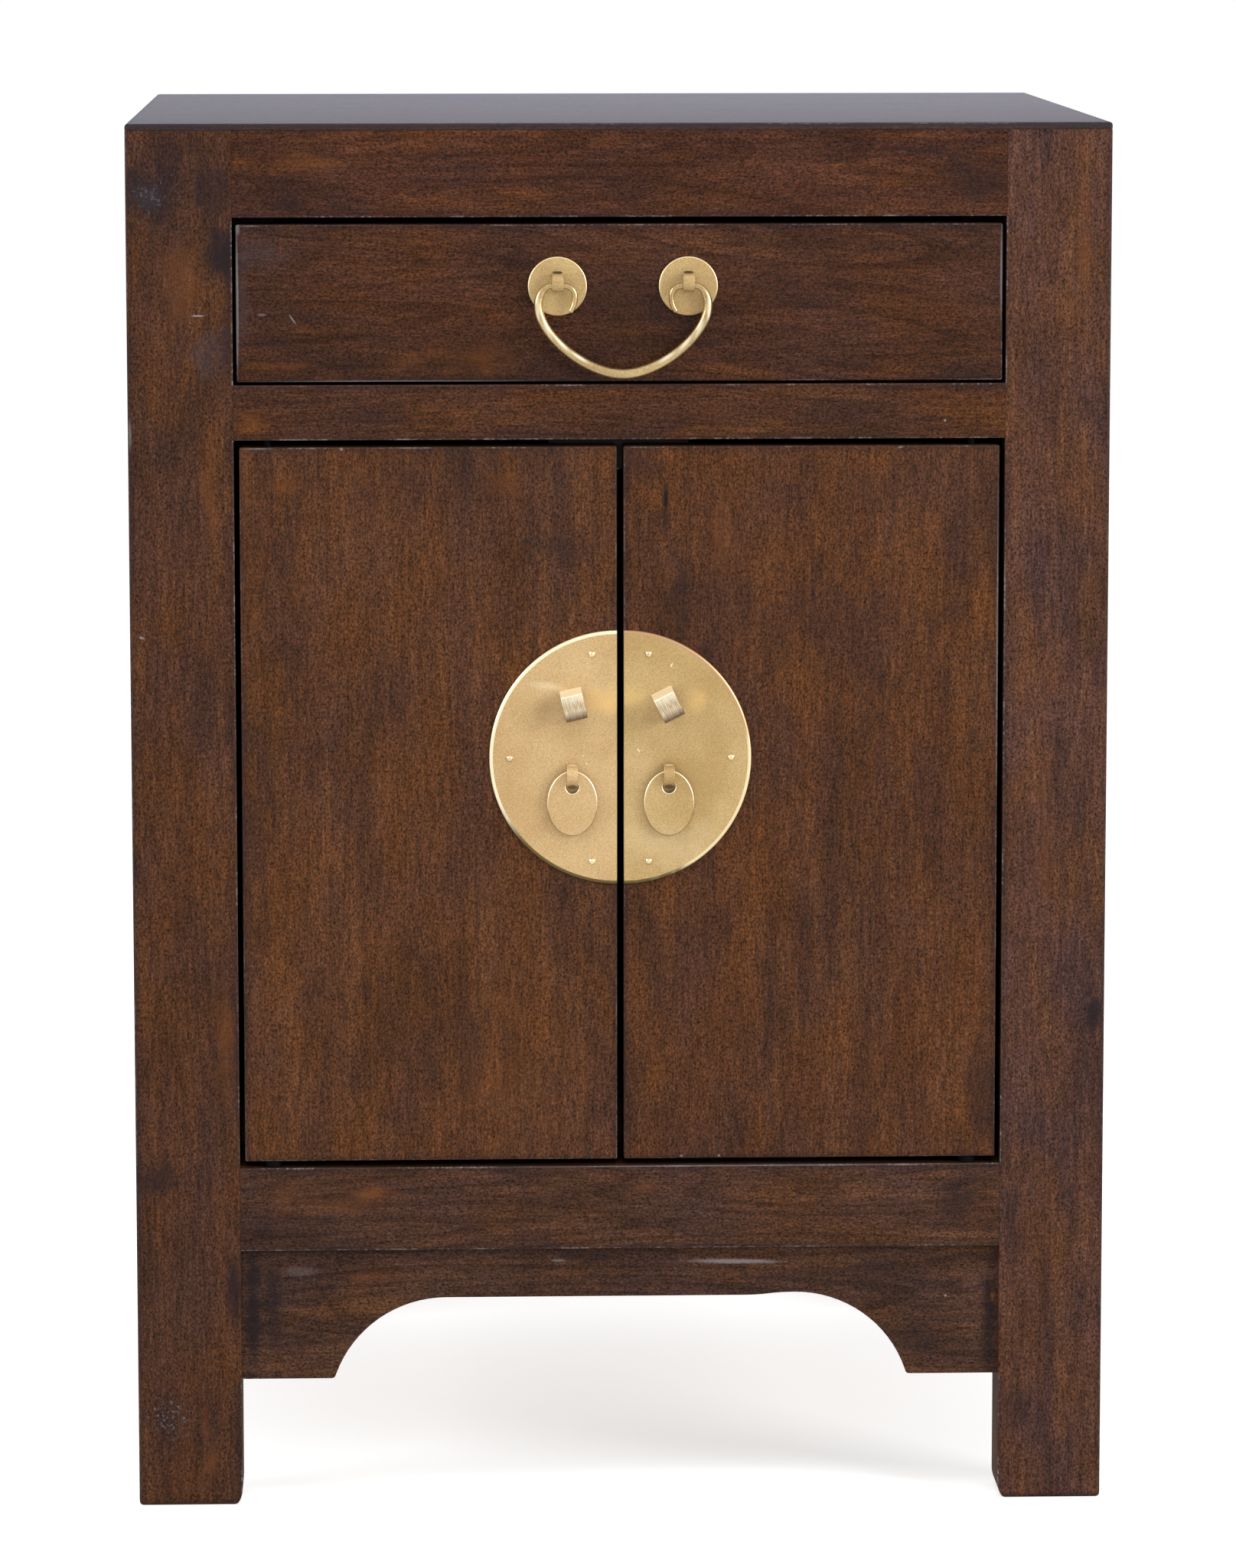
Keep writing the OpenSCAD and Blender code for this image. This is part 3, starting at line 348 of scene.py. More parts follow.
@dataclass(frozen=True)
class Spot:
    """One mark on a front: an oval with a soft and uneven edge, turned about Y in degrees."""

    mark: Mark
    x: float
    z: float
    half_w: float
    half_h: float
    strength: float = 0.6
    turn: float = 0.0

    depth: float = 12.0
    edge: float = 1.1  # where the mark begins, as a share of the oval's own size

    def paint(
        self, tree: Tree, colour: Socket, place: Socket, noises: tuple[Socket, Socket], front: float
    ) -> Socket:
        """Lay the mark's colour over a surface, near its front.

        The distance from the oval's middle is 1 on the oval. One of the noises is added to it, so
        that the edge is ragged.

        Args:
            tree: The material's nodes.
            colour: The colour so far.
            place: Object coordinates.
            noises: A fine noise and a slow one.
            front: The front's Y in metres.

        Returns:
            The colour with the mark.
        """
        mark, noise = self.mark, noises[self.mark.drifts]
        inside = add(tree, "Mapping", {
            "Vector": place, "Location": (self.x * MM, front, self.z * MM),
            "Rotation": (0.0, math.radians(self.turn), 0.0),
            "Scale": (self.half_w * MM, self.depth * MM, self.half_h * MM),
        }, vector_type="TEXTURE")
        inside = add(tree, "VectorMath", {0: inside}, operation="LENGTH")
        inside = add(tree, "Math", {0: noise, 1: mark.ragged, 2: inside}, operation="MULTIPLY_ADD")
        shift = mark.ragged / 2 - mark.sparse
        levels = self.edge + shift, mark.core + shift
        return over(tree, colour, linear(mark.colour), inside, levels, (0.0, self.strength))


@dataclass(frozen=True)
class StainedWood:
    """Close-grained hardwood, planed, hand-rubbed with walnut stain and sprayed with satin lacquer.

    The stain takes unevenly: the eye sees a brown ground with softly darker and warmer clouds,
    drawn out along the grain, under fine fibres and short pores. Arrises are darker with stain
    beside them and worn pale here and there. The top's lacquer has a pale bloom, seen at a low angle.
    """

    grain: Axis
    seed: int
    slope: float = 0.0
    warmth: float = 0.5
    figure: float = 0.15
    # Per-board colour factors: the stain's strength, and on some boards painted light
    tint: tuple[float, float, float] = (1.0, 1.0, 1.0)
    edge_stain: float = 0.4
    sheen: float = 0.09
    bloom: float = 0.0
    joined: Face = Face(0)
    joints: tuple[Span, ...] = ()
    spots: tuple[Spot, ...] = ()

    dark: str = "#3f2719"
    ground: str = "#4f301c"
    warm: str = "#643d1f"
    pore: str = "#1d110d"
    worn: str = "#958b8b"
    bloom_colour: str = "#d4e1ff"
    violet: Colour = (0.92, 0.98, 1.24, 1.0)
    orange: Colour = (1.06, 1.0, 0.79, 1.0)

    # Real sizes in mm: clouds of stain, growth lines, fibres, pores, and how far an arris is worn
    cloud: float = 34.0
    growth: float = 42.0
    fibre: float = 1.2
    grain_size: float = 0.75  # three times the real one, so that it shows in the render
    pore_w: float = 0.8  # twice the real width, so that pores show in the render
    speck: float = 1.5
    drift: float = 13.0
    stretch: float = 26.0
    worn_w: float = 0.9
    stained_w: float = 4.0
    inner_x: float = 187.5
    relief: float = 0.05

    growth_lines: float = 19.0
    roughness: float = 0.46
    skew: float = 0.6  # radians about the grain, so that no face lies along the noise's own grid
    board_step: float = 0.731  # metres from one board's pattern to the next one's

    def material(self, node: str) -> Material:
        """Make the finish for one board.

        Args:
            node: The frame's node; its box says where the arrises are.

        Returns:
            The board's material.
        """
        material, tree = blank(f"Walnut stained hardwood {node}")
        place = add(tree, "TexCoord", output="Object")
        turn = self.grain.turned(self.skew)
        turn[Axis.Y.value] += math.radians(self.slope)
        own = add(tree, "Mapping", {
            "Vector": place, "Location": (self.seed * self.board_step,) * 3, "Rotation": tuple(turn),
        })
        speck = add(tree, "TexNoise", {"Vector": own, "Scale": per(self.speck), "Detail": 3.0})

        colour, relief = self._body(tree, own)
        if self.spots:
            drift = along(tree, self.grain, own, self.drift, 1.5, 4)
            for spot in self.spots:
                colour = spot.paint(tree, colour, place, (speck, drift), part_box(node)[0][1])
        colour = self._arris(tree, colour, self._edge_distance(tree, place, node), own, speck)

        gloss = add(tree, "MapRange", {
            "Value": relief, "To Min": self.roughness + 0.08, "To Max": self.roughness - 0.06,
        })
        bump = add(tree, "Bump", {"Strength": 0.6, "Distance": self.relief * MM, "Height": relief})
        surface(tree, {
            "Base Color": colour, "Roughness": gloss, "Specular IOR Level": self.sheen, "Normal": bump,
            "Sheen Weight": self.bloom, "Sheen Roughness": 0.4, "Sheen Tint": linear(self.bloom_colour),
        })
        return material

    def _stain(self, colour: str) -> Colour:
        """Return one of the stain's colours, scaled by the board's tint: the stain's strength there, and on
        some boards painted light.
        """
        return (*[part * share for part, share in zip(linear(colour), self.tint)], 1.0)

    def _body(self, tree: Tree, own: Socket) -> tuple[Socket, Socket]:
        """Paint clouds, tones, growth lines, fibres and pores.

        Args:
            tree: The material's nodes.
            own: The board's own coordinates.

        Returns:
            The colour, and a height from 0 in the pores to 1 on the fibres.
        """
        cloud = along(tree, self.grain, own, self.cloud, 2.4, 4, 0.4)
        colour = over(tree, self._stain(self.dark), self._stain(self.ground), cloud, (0.32, 0.6))
        thin = along(tree, self.grain, own, self.cloud / 3, 8, 3)
        colour = over(tree, colour, self._stain(self.warm), thin, (0.46, 0.72), (0.0, self.warmth))
        tone = along(tree, self.grain, own, self.cloud * 0.7, 2.0, 3)
        tone = over(tree, self.violet, self.orange, tone, (0.35, 0.65), soft=False)
        colour = add(tree, "Mix", {0: 1.0, 6: colour, 7: tone}, data_type="RGBA", blend_type="MULTIPLY")

        # Growth lines are the levels of one slow noise: a saw of it, steep on one side of each line
        level = along(tree, self.grain, own, self.growth, 9, 1, 0.3)
        level = add(tree, "Math", {0: level, 1: self.growth_lines}, operation="MULTIPLY")
        level = add(tree, "Math", {0: level}, operation="FRACT")
        colour = shaded(tree, colour, level, (0.5, 1.0), (1.0, 1 - self.figure), soft=True)

        fibre = along(tree, self.grain, own, self.fibre, 11, 3)
        colour = shaded(tree, colour, fibre, (0.3, 0.7), (0.7, 1.3))
        fine = along(tree, self.grain, own, self.grain_size, 1.5, 1)
        colour = shaded(tree, colour, fine, (0.25, 0.75), (0.2, 1.84))

        pores = along(tree, self.grain, own, self.pore_w, 4, 1)
        pores = add(tree, "MapRange", {"Value": pores, "From Min": 0.56, "From Max": 0.72, "To Max": 0.4})
        colour = add(tree, "Mix", {0: pores, 6: colour, 7: linear(self.pore)}, data_type="RGBA")
        return colour, add(tree, "Math", {0: fibre, 1: pores}, operation="SUBTRACT")

    def _edge_distance(self, tree: Tree, place: Socket, node: str) -> Socket:
        """Return the distance to the nearest free arris, in metres.

        On a box's surface the least of the distances to its three pairs of faces is zero, and the
        middle one is the distance to the nearest arris. A joined face is taken as far off. At a
        leg's joints the inner side is taken so too, between two heights.

        Args:
            tree: The material's nodes.
            place: Object coordinates.
            node: The frame's node.

        Returns:
            The distance.
        """
        corners = [np.array(corner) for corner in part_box(node)]
        for face in self.joined:
            axis, end = face.plane
            corners[end][axis] += 2 * end - 1
        low, high = corners
        away = add(tree, "VectorMath", {0: place, 1: tuple((low + high) / 2)}, operation="SUBTRACT")
        away = add(tree, "VectorMath", {0: away}, operation="ABSOLUTE")
        inside = add(tree, "VectorMath", {0: tuple((high - low) / 2), 1: away}, operation="SUBTRACT")
        x, y, z = add(tree, "SeparateXYZ", {0: inside}).node.outputs
        if self.joints:
            x = add(tree, "Math", {0: self._joint(tree, place), 1: x}, operation="ADD")
        least = add(tree, "Math", {0: x, 1: y}, operation="MINIMUM")
        most = add(tree, "Math", {0: x, 1: y}, operation="MAXIMUM")
        other = add(tree, "Math", {0: most, 1: z}, operation="MINIMUM")
        return add(tree, "Math", {0: least, 1: other}, operation="MAXIMUM")

    def _joint(self, tree: Tree, place: Socket) -> Socket:
        """Return at least a metre where a rail or the apron meets this leg's inner side, else zero.

        Args:
            tree: The material's nodes.
            place: Object coordinates.

        Returns:
            The metres that are added to the distance from that side.
        """
        x, _, z = add(tree, "SeparateXYZ", {0: place}).node.outputs
        x = add(tree, "Math", {0: x}, operation="ABSOLUTE")
        inner = add(tree, "Math", {0: x, 1: self.inner_x * MM}, operation="LESS_THAN")
        total = 0.0
        for low, high in self.joints:
            there = add(tree, "Math", {
                0: z, 1: (low + high) / 2 * MM, 2: (high - low) / 2 * MM,
            }, operation="COMPARE")
            total = add(tree, "Math", {0: total, 1: there}, operation="ADD")
        return add(tree, "Math", {0: total, 1: inner}, operation="MULTIPLY")

    def _arris(self, tree: Tree, colour: Socket, edge: Socket, own: Socket, speck: Socket) -> Socket:
        """Darken the wood beside its arrises, and wear them pale here and there.

        Args:
            tree: The material's nodes.
            colour: The colour so far.
            edge: The distance to the nearest free arris, in metres.
            own: The board's own coordinates.
            speck: A fine noise.

        Returns:
            The colour with its arrises.
        """
        beside = 0.0, self.stained_w * MM
        # Stain gathered beside the arrises; on the top board it is also painted shade on the rounded front
        # arris
        colour = over(tree, colour, linear(Mark.GLAZE.colour), edge, beside, (self.edge_stain, 0.0))
        near = add(tree, "MapRange", {
            "Value": edge, "From Max": self.worn_w * MM, "To Min": 1.0, "To Max": 0.0,
        }, interpolation_type="SMOOTHSTEP")
        stretches = add(tree, "TexNoise", {"Vector": own, "Scale": per(self.stretch), "Detail": 2.0})
        stretches = add(tree, "Math", {0: stretches, 1: speck}, operation="ADD")
        stretches = add(tree, "MapRange", {
            "Value": stretches, "From Min": 1.0, "From Max": 1.3, "To Min": 0.04, "To Max": 0.7,
        }, interpolation_type="SMOOTHSTEP")
        worn = add(tree, "Math", {0: near, 1: stretches}, operation="MULTIPLY")
        return add(tree, "Mix", {0: worn, 6: colour, 7: linear(self.worn)}, data_type="RGBA")


@dataclass(frozen=True)
class PlainWood:
    """Planed softwood and plywood, left without stain: pale brown with soft growth lines.

    Inside the case, stain that was sprayed on the front darkens the wood just behind it.
    """

    grain: Axis
    seed: int
    oversprayed: bool = False
    spray: str = "#1a1210"
    sprayed_y: float = -150.0
    spray_depth: float = 60.0
    pale: str = "#a37b50"
    late: str = "#82592f"
    growth: float = 22.0
    growth_lines: float = 16.0
    contrast: float = 0.5
    fibre: float = 0.9
    relief: float = 0.06
    skew: float = 0.5  # radians about the grain, so that no face lies along the noise's own grid
    board_step: float = 0.613  # metres from one board's pattern to the next one's

    def material(self, node: str) -> Material:
        """Make the finish for one board, named after the frame's node.

        Args:
            node: The node.

        Returns:
            The material.
        """
        material, tree = blank(f"Planed plain wood {node}")
        place = add(tree, "TexCoord", output="Object")
        own = add(tree, "Mapping", {
            "Vector": place, "Location": (self.seed * self.board_step,) * 3,
            "Rotation": tuple(self.grain.turned(self.skew)),
        })
        level = along(tree, self.grain, own, self.growth, 10, 1.5, 0.2, 0.5)
        level = add(tree, "Math", {0: level, 1: self.growth_lines}, operation="MULTIPLY")
        level = add(tree, "Math", {0: level, 1: 1.0}, operation="PINGPONG")
        colour = over(tree, linear(self.pale), linear(self.late), level, (0.3, 1.0), (0.0, self.contrast))
        fibre = along(tree, self.grain, own, self.fibre, 30, 3)
        colour = shaded(tree, colour, fibre, (0.3, 0.7), (0.84, 1.14))
        if self.oversprayed:
            y = add(tree, "SeparateXYZ", {0: place}, output="Y")
            depth = self.sprayed_y * MM, (self.sprayed_y + self.spray_depth) * MM
            colour = over(tree, colour, linear(self.spray), y, depth, (0.95, 0.0))
        bump = add(tree, "Bump", {"Strength": 0.5, "Distance": self.relief * MM, "Height": fibre})
        surface(tree, {"Base Color": colour, "Roughness": 0.66, "Specular IOR Level": 0.25, "Normal": bump})
        return material


# Finishes of the metal and the plastic


@dataclass(frozen=True)
class SatinBrass:
    """Sheet brass, fine-blasted and lacquered: an even soft gold with a faint sparkle of its grit."""

    name: str = "Satin lacquered brass"
    colour: str = "#d8b984"
    shade: str = "#c6a46e"
    grit: float = 0.5  # coarser than the real one, so that it shows in the render
    sparkle: float = 0.16
    cloud: float = 30.0
    drift: float = 7.0
    skew: tuple[float, float, float] = (0.7, 0.4, 0.5)  # so that no face lies along the noise's own grid
    relief: float = 0.012
    metallic: float = 0.6  # the rest is light that the matt lacquer scatters
    roughness: float = 0.5
    lacquer: float = 0.0  # a glossy coat, whose highlights are white
    marks: tuple[Spot, ...] = ()
    front: float = 0.0

    def material(self) -> Material:
        """Make the finish. Its marks lie on a front at a Y in metres.

        Returns:
            The material.
        """
        material, tree = blank(self.name)
        place = add(tree, "TexCoord", output="Object")
        own = add(tree, "Mapping", {"Vector": place, "Rotation": self.skew})
        cloud, grit, drift = (
            add(tree, "TexNoise", {"Vector": own, "Scale": per(size), "Detail": 2.0})
            for size in (self.cloud, self.grit, self.drift)
        )
        mixed = add(tree, "Math", {0: grit, 1: 0.5, 2: cloud}, operation="MULTIPLY_ADD")
        colour = over(tree, linear(self.shade), linear(self.colour), mixed, (0.6, 0.95), soft=False)
        colour = shaded(tree, colour, grit, (0.3, 0.7), (1 - self.sparkle, 1 + self.sparkle))
        for mark in self.marks:
            colour = mark.paint(tree, colour, place, (grit, drift), self.front)
        gloss = add(tree, "MapRange", {
            "Value": grit, "To Min": self.roughness - 0.06, "To Max": self.roughness + 0.06,
        })
        bump = add(tree, "Bump", {"Strength": 0.5, "Distance": self.relief * MM, "Height": grit})
        surface(tree, {
            "Base Color": colour, "Metallic": self.metallic, "Roughness": gloss, "Normal": bump,
            "Coat Weight": self.lacquer, "Coat Roughness": 0.16,
        })
        return material


@dataclass(frozen=True)
class PolishedRim:
    """The rounded rim of a brass plate, polished by hand, with a painted highlight above a height and painted
    shade below it.

    Seen from the front it makes a fine bright line round the plate, which turns olive below.
    """

    bright: str = "#fff1cc"
    dull: str = "#6d5b36"
    upper: str = "#fff1cc"
    upper_z: float = 1000.0
    fade: float = 16.0
    wear: float = 6.0
    wander: float = 8.0
    metallic: float = 0.8
    roughness: float = 0.34

    def material(self, name: str, painted_shade_z: float, painted_highlight_z: float) -> Material:
        """Make the finish. Above upper_z it has a colour of its own, and its heights wander slowly.

        Args:
            name: What the rim is of.
            painted_shade_z: The height in mm below which it has painted shade.
            painted_highlight_z: The height over which it has a painted highlight.

        Returns:
            The material.
        """
        material, tree = blank(f"Polished brass rim {name}")
        place = add(tree, "TexCoord", output="Object")
        height = add(tree, "SeparateXYZ", {0: place}, output="Z")
        wear = add(tree, "TexNoise", {"Vector": place, "Scale": per(self.wear), "Detail": 2.0})
        height = add(tree, "Math", {0: wear, 1: self.wander * MM, 2: height}, operation="MULTIPLY_ADD")
        # Painted shade below one height and a painted highlight above another, with a wavering edge
        clear = (painted_shade_z + self.wander / 2) * MM, (painted_highlight_z + self.wander / 2) * MM
        colour = over(tree, linear(self.dull), linear(self.bright), height, clear)
        above = self.upper_z * MM, (self.upper_z + self.fade) * MM
        colour = over(tree, colour, linear(self.upper), height, above)
        surface(tree, {"Base Color": colour, "Metallic": self.metallic, "Roughness": self.roughness})
        return material


@dataclass(frozen=True)
class FiledBrass:
    """Brass strip filed along its length: paler than the plate, with fine bright scratches.

    It has a painted highlight along its top and painted shade at its lower end.
    """

    turn: float
    height: float
    fall: float
    colour: str = "#d8c7a6"
    shade: str = "#8f7556"
    rubbed: str = "#fff4d6"
    dull: str = "#6e5540"
    dull_h: float = 5.0
    scratch: float = 0.45
    drawn: tuple[float, float, float] = (1.0, 0.12, 0.06)
    relief: float = 0.03
    metallic: float = 0.6
    roughness: float = 0.42

    def material(self, name: str, middle: np.ndarray) -> Material:
        """Make the finish.

        Args:
            name: What the strip is.
            middle: The strip's middle in mm; it stands upright but for its turn about Y.

        Returns:
            The strip's material.
        """
        material, tree = blank(f"Filed brass strip {name}")
        place = add(tree, "TexCoord", output="Object")
        upright = add(tree, "Mapping", {
            "Vector": place, "Location": tuple(middle * MM), "Rotation": (0.0, math.radians(-self.turn), 0.0),
        }, vector_type="TEXTURE")
        drawn = add(tree, "VectorMath", {0: upright, 1: self.drawn}, operation="MULTIPLY")
        scratch = add(tree, "TexNoise", {
            "Vector": drawn, "Scale": per(self.scratch), "Detail": 3.0, "Roughness": 0.7,
        })
        colour = over(tree, linear(self.shade), linear(self.colour), scratch, (0.35, 0.62), soft=False)
        level = add(tree, "SeparateXYZ", {0: upright}, output="Z")
        foot, lip = -self.height / 2, self.height / 2 - self.fall
        # Painted light: shade at the foot, a highlight that grows up the front, and a strong one on the top
        # bend
        for low, high, shares, band_colour in (
            (foot, foot + self.dull_h, (0.85, 0.0), self.dull),
            (0.0, lip - 1.0, (0.0, 0.4), self.rubbed),
            (lip - 0.9, lip - 0.5, (0.0, 0.95), self.rubbed),
        ):
            colour = over(tree, colour, linear(band_colour), level, (low * MM, high * MM), shares)
        bump = add(tree, "Bump", {"Strength": 0.6, "Distance": self.relief * MM, "Height": scratch})
        surface(tree, {
            "Base Color": colour, "Metallic": self.metallic, "Roughness": self.roughness, "Normal": bump,
        })
        return material


@dataclass(frozen=True)
class ZincSteel:
    """Turned and stamped steel with a zinc coat: cool grey, slightly cloudy."""

    name: str = "Zinc plated steel"
    colour: str = "#b4b6b5"
    shade: str = "#8b8e8f"
    cloud: float = 1.5
    roughness: float = 0.36

    def material(self) -> Material:
        """Make the finish.

        Returns:
            The material.
        """
        material, tree = blank(self.name)
        place = add(tree, "TexCoord", output="Object")
        cloud = add(tree, "TexNoise", {"Vector": place, "Scale": per(self.cloud), "Detail": 3.0})
        colour = add(tree, "Mix", {0: cloud, 6: linear(self.shade), 7: linear(self.colour)}, data_type="RGBA")
        gloss = add(tree, "MapRange", {
            "Value": cloud, "To Min": self.roughness - 0.1, "To Max": self.roughness + 0.12,
        })
        surface(tree, {"Base Color": colour, "Metallic": 1.0, "Roughness": gloss})
        return material


@dataclass(frozen=True)
class MouldedNylon:
    """Nylon moulded in a spark-eroded tool: dark brown, matt, with a very fine pebble."""

    colour: str = "#3a3330"
    pebble: float = 0.7
    relief: float = 0.02

    def material(self) -> Material:
        """Make the finish.

        Returns:
            The material.
        """
        material, tree = blank("Moulded dark nylon")
        place = add(tree, "TexCoord", output="Object")
        pebble = add(tree, "TexNoise", {"Vector": place, "Scale": per(self.pebble), "Detail": 2.0})
        colour = shaded(tree, linear(self.colour), pebble, (0.0, 1.0), (0.85, 1.15))
        bump = add(tree, "Bump", {"Strength": 0.5, "Distance": self.relief * MM, "Height": pebble})
        surface(tree, {"Base Color": colour, "Roughness": 0.55, "Specular IOR Level": 0.4, "Normal": bump})
        return material


# Surfaces


def placed(name: str, data: bpy.types.ID) -> Piece:
    """Add an object to the scene, with its mesh, its light or its camera.

    Args:
        name: The object's name.
        data: Its mesh, light or camera.

    Returns:
        The object.
    """
    piece = bpy.data.objects.new(name, data)
    bpy.context.scene.collection.objects.link(piece)
    return piece


def shell(
    name: str, rings: np.ndarray, joined_ends: bool = False, rims: tuple[range, ...] = ()
) -> Piece:
    """Make a closed mesh over rings of points.

    Point j of ring i is joined to its neighbours j + 1 on its own ring and j on the next ring, and
    each ring closes on itself. Unless the last ring is joined to the first, one face closes each of
    the two.

    Args:
        name: The new piece's name.
        rings: Points in mm, shaped (rings, points on a ring, 3).
        joined_ends: Whether the last ring is joined to the first.
        rims: Rings whose faces, up to the next ring, have the piece's second material.

    Returns:
        The piece, smooth but for its sharp edges.
    """
    count, around = rings.shape[:2]
    i = np.arange(count if joined_ends else count - 1)[:, None]
    j = np.arange(around)[None, :]
    here, there = i * around, (i + 1) % count * around
    beside = (j + 1) % around
    quads = np.stack([here + j, here + beside, there + beside, there + j], axis=-1).reshape(-1, 4)
    faces = quads.tolist()
    if not joined_ends:
        faces += [list(range(around)), list(range((count - 1) * around, count * around))]
    mesh = bpy.data.meshes.new(name)
    mesh.from_pydata((rings.reshape(-1, 3) * MM).tolist(), [], faces)
    ring_of_face = np.arange(len(faces)) // around
    second = np.isin(ring_of_face, [k for rim in rims for k in rim])
    mesh.polygons.foreach_set("material_index", second.astype(np.int32))
    piece = placed(name, mesh)
    smooth(piece)
    return piece


def smooth(piece: Piece, angle: float = 32.0) -> None:
    """Turn a piece's faces outwards and shade it smooth, but for edges over an angle in degrees.

    Args:
        piece: The piece.
        angle: The least angle of a sharp edge, in degrees.
    """
    shape = bmesh.new()
    shape.from_mesh(piece.data)
    bmesh.ops.recalc_face_normals(shape, faces=shape.faces)
    shape.to_mesh(piece.data)
    shape.free()
    piece.data.shade_smooth()
    piece.data.set_sharp_from_angle(angle=math.radians(angle))


def joined(name: str, pieces: Iterable[Piece]) -> Piece:
    """Join pieces into one, under a new name.

    Args:
        name: The new name.
        pieces: The pieces.

    Returns:
        The joined piece.
    """
    pieces = list(pieces)
    with bpy.context.temp_override(active_object=pieces[0], selected_editable_objects=pieces):
        bpy.ops.object.join()
    pieces[0].name = name
    pieces[0].data.name = name
    return pieces[0]


def eased_board(node: str, ease: float, sharp: Face) -> Piece:
    """Copy one of the frame's boards, and round the arrises of its outer box.

    An edge is an arris where it lies in two faces of the board's box. A live Bevel modifier rounds
    those that are marked here.

    Args:
        node: The frame's node.
        ease: The radius in mm.
        sharp: Faces whose arrises stay sharp, because another board meets them.

    Returns:
        The piece.
    """
    shape = bmesh.new()
    shape.from_mesh(frame["nodes"][node].data)
    bmesh.ops.remove_doubles(shape, verts=shape.verts, dist=1e-6)
    bmesh.ops.dissolve_limit(shape, angle_limit=math.radians(0.5), verts=shape.verts, edges=shape.edges)
    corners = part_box(node)
    free = [face.plane for face in Face if face not in sharp]
    weight = shape.edges.layers.float.new("bevel_weight_edge")
    for edge in shape.edges:
        shared = [
            1 for axis, end in free if all(abs(v.co[axis] - corners[end][axis]) < CLOSE for v in edge.verts)
        ]
        edge[weight] = float(len(shared) == 2)
        edge.smooth = len(shared) == 2 or edge.calc_face_angle(0) < math.radians(25)
    for face in shape.faces:
        face.smooth = True
    mesh = bpy.data.meshes.new(node)
    shape.to_mesh(mesh)
    shape.free()
    piece = placed(f"Board_{node}", mesh)
    bevel = piece.modifiers.new("Eased arrises", "BEVEL")
    bevel.width = ease * MM
    bevel.segments = 4
    bevel.limit_method = "WEIGHT"
    bevel.harden_normals = True
    return piece


def arc(centre: tuple[float, float], radius: float, start: float, end: float, steps: int) -> np.ndarray:
    """Return points on an arc, from the start angle to the end angle in degrees."""
    angle = np.radians(np.linspace(start, end, steps + 1))
    return np.array(centre) + radius * np.stack([np.cos(angle), np.sin(angle)], axis=-1)


def circle(sides: int) -> np.ndarray:
    """Return points evenly round a circle with a radius of one."""
    return arc((0, 0), 1, 0, 360 - 360 / sides, sides - 1)


def directions(path: np.ndarray) -> np.ndarray:
    """Return a path's direction at each of its points, with a length of one."""
    run = np.gradient(path, axis=0)
    return run / np.linalg.norm(run, axis=1, keepdims=True)


def eased_plate(
    name: str, outline: Outline, rim: np.ndarray, back: float, polished: bool = False
) -> Piece:
    """Make a plate that faces -Y, its rim a profile carried round an outline.

    Ring k of the plate is the outline drawn in by rim[k, 0], at rim[k, 1] in front of the back.

    Args:
        name: The new piece's name.
        outline: Gives the plate's outline, drawn in by a distance, as points [x, z] in mm.
        rim: Points [inset, height over the back] in mm, from the back to the front.
        back: The back face's Y in mm.
        polished: Whether the rounded part of the rim has the piece's second material.

    Returns:
        The piece.
    """
    rings = np.array([np.insert(outline(inset), 1, back - height, axis=1) for inset, height in rim])
    return shell(name, rings, rims=(range(1, len(rim) - 2),) if polished else ())


def eased_rim(
    thickness: float, depth: float, width: float = 0.0, steps: int = 6, inner: float = 0.3
) -> np.ndarray:
    """Return a plate's rim: sharp at the back, with a quarter of an oval at the front.

    One more ring on the front face keeps that face's shading flat.

    Args:
        thickness: The plate's thickness.
        depth: How deep the rounding goes from the front.
        width: How wide it is; zero for as wide as it is deep.
        steps: How many faces it has.
        inner: How far inside the rounding the ring on the front face lies.

    Returns:
        Points [inset, height over the back], in mm.
    """
    wide = width or depth
    bend = arc((0, 0), 1, 180, 90, steps) * [wide, depth] + [wide, thickness - depth]
    return np.concatenate([[[0.0, 0.0]], bend, [[wide + inner, thickness]]])


def strip(
    name: str, path: np.ndarray, width: float, thickness: float, ease: float, place: np.ndarray,
    turn: float = 0.0,
) -> Piece:
    """Make a bent metal strip: a rounded rectangle carried along a path.

    The path lies in the Y-Z plane, the section stands square to it, and the strip's width lies
    along X before the whole is turned about Y.

    Args:
        name: The new piece's name.
        path: Points [y, z] of the strip's middle, in mm.
        width: The strip's width.
        thickness: The strip's thickness.
        ease: The radius of its four rounded edges.
        place: Where the path's origin lies, in mm.
        turn: Degrees from Z towards X.

    Returns:
        The piece.
    """
    half_w, half_t = width / 2 - ease, thickness / 2 - ease
    corners = [(half_w, -half_t, -90), (half_w, half_t, 0), (-half_w, half_t, 90), (-half_w, -half_t, 180)]
    section = np.concatenate([arc((x, t), ease, a, a + 90, 3) for x, t, a in corners])
    run = directions(path)
    out = np.stack([run[:, 1], -run[:, 0]], axis=-1)
    flat = path[:, None, :] + section[None, :, 1, None] * out[:, None, :]
    across = np.broadcast_to(section[None, :, 0], flat.shape[:2])
    angle = math.radians(turn)
    points = np.stack([
        across * math.cos(angle) - flat[..., 1] * math.sin(angle),
        flat[..., 0],
        across * math.sin(angle) + flat[..., 1] * math.cos(angle),
    ], axis=-1)
    return shell(name, points + place)


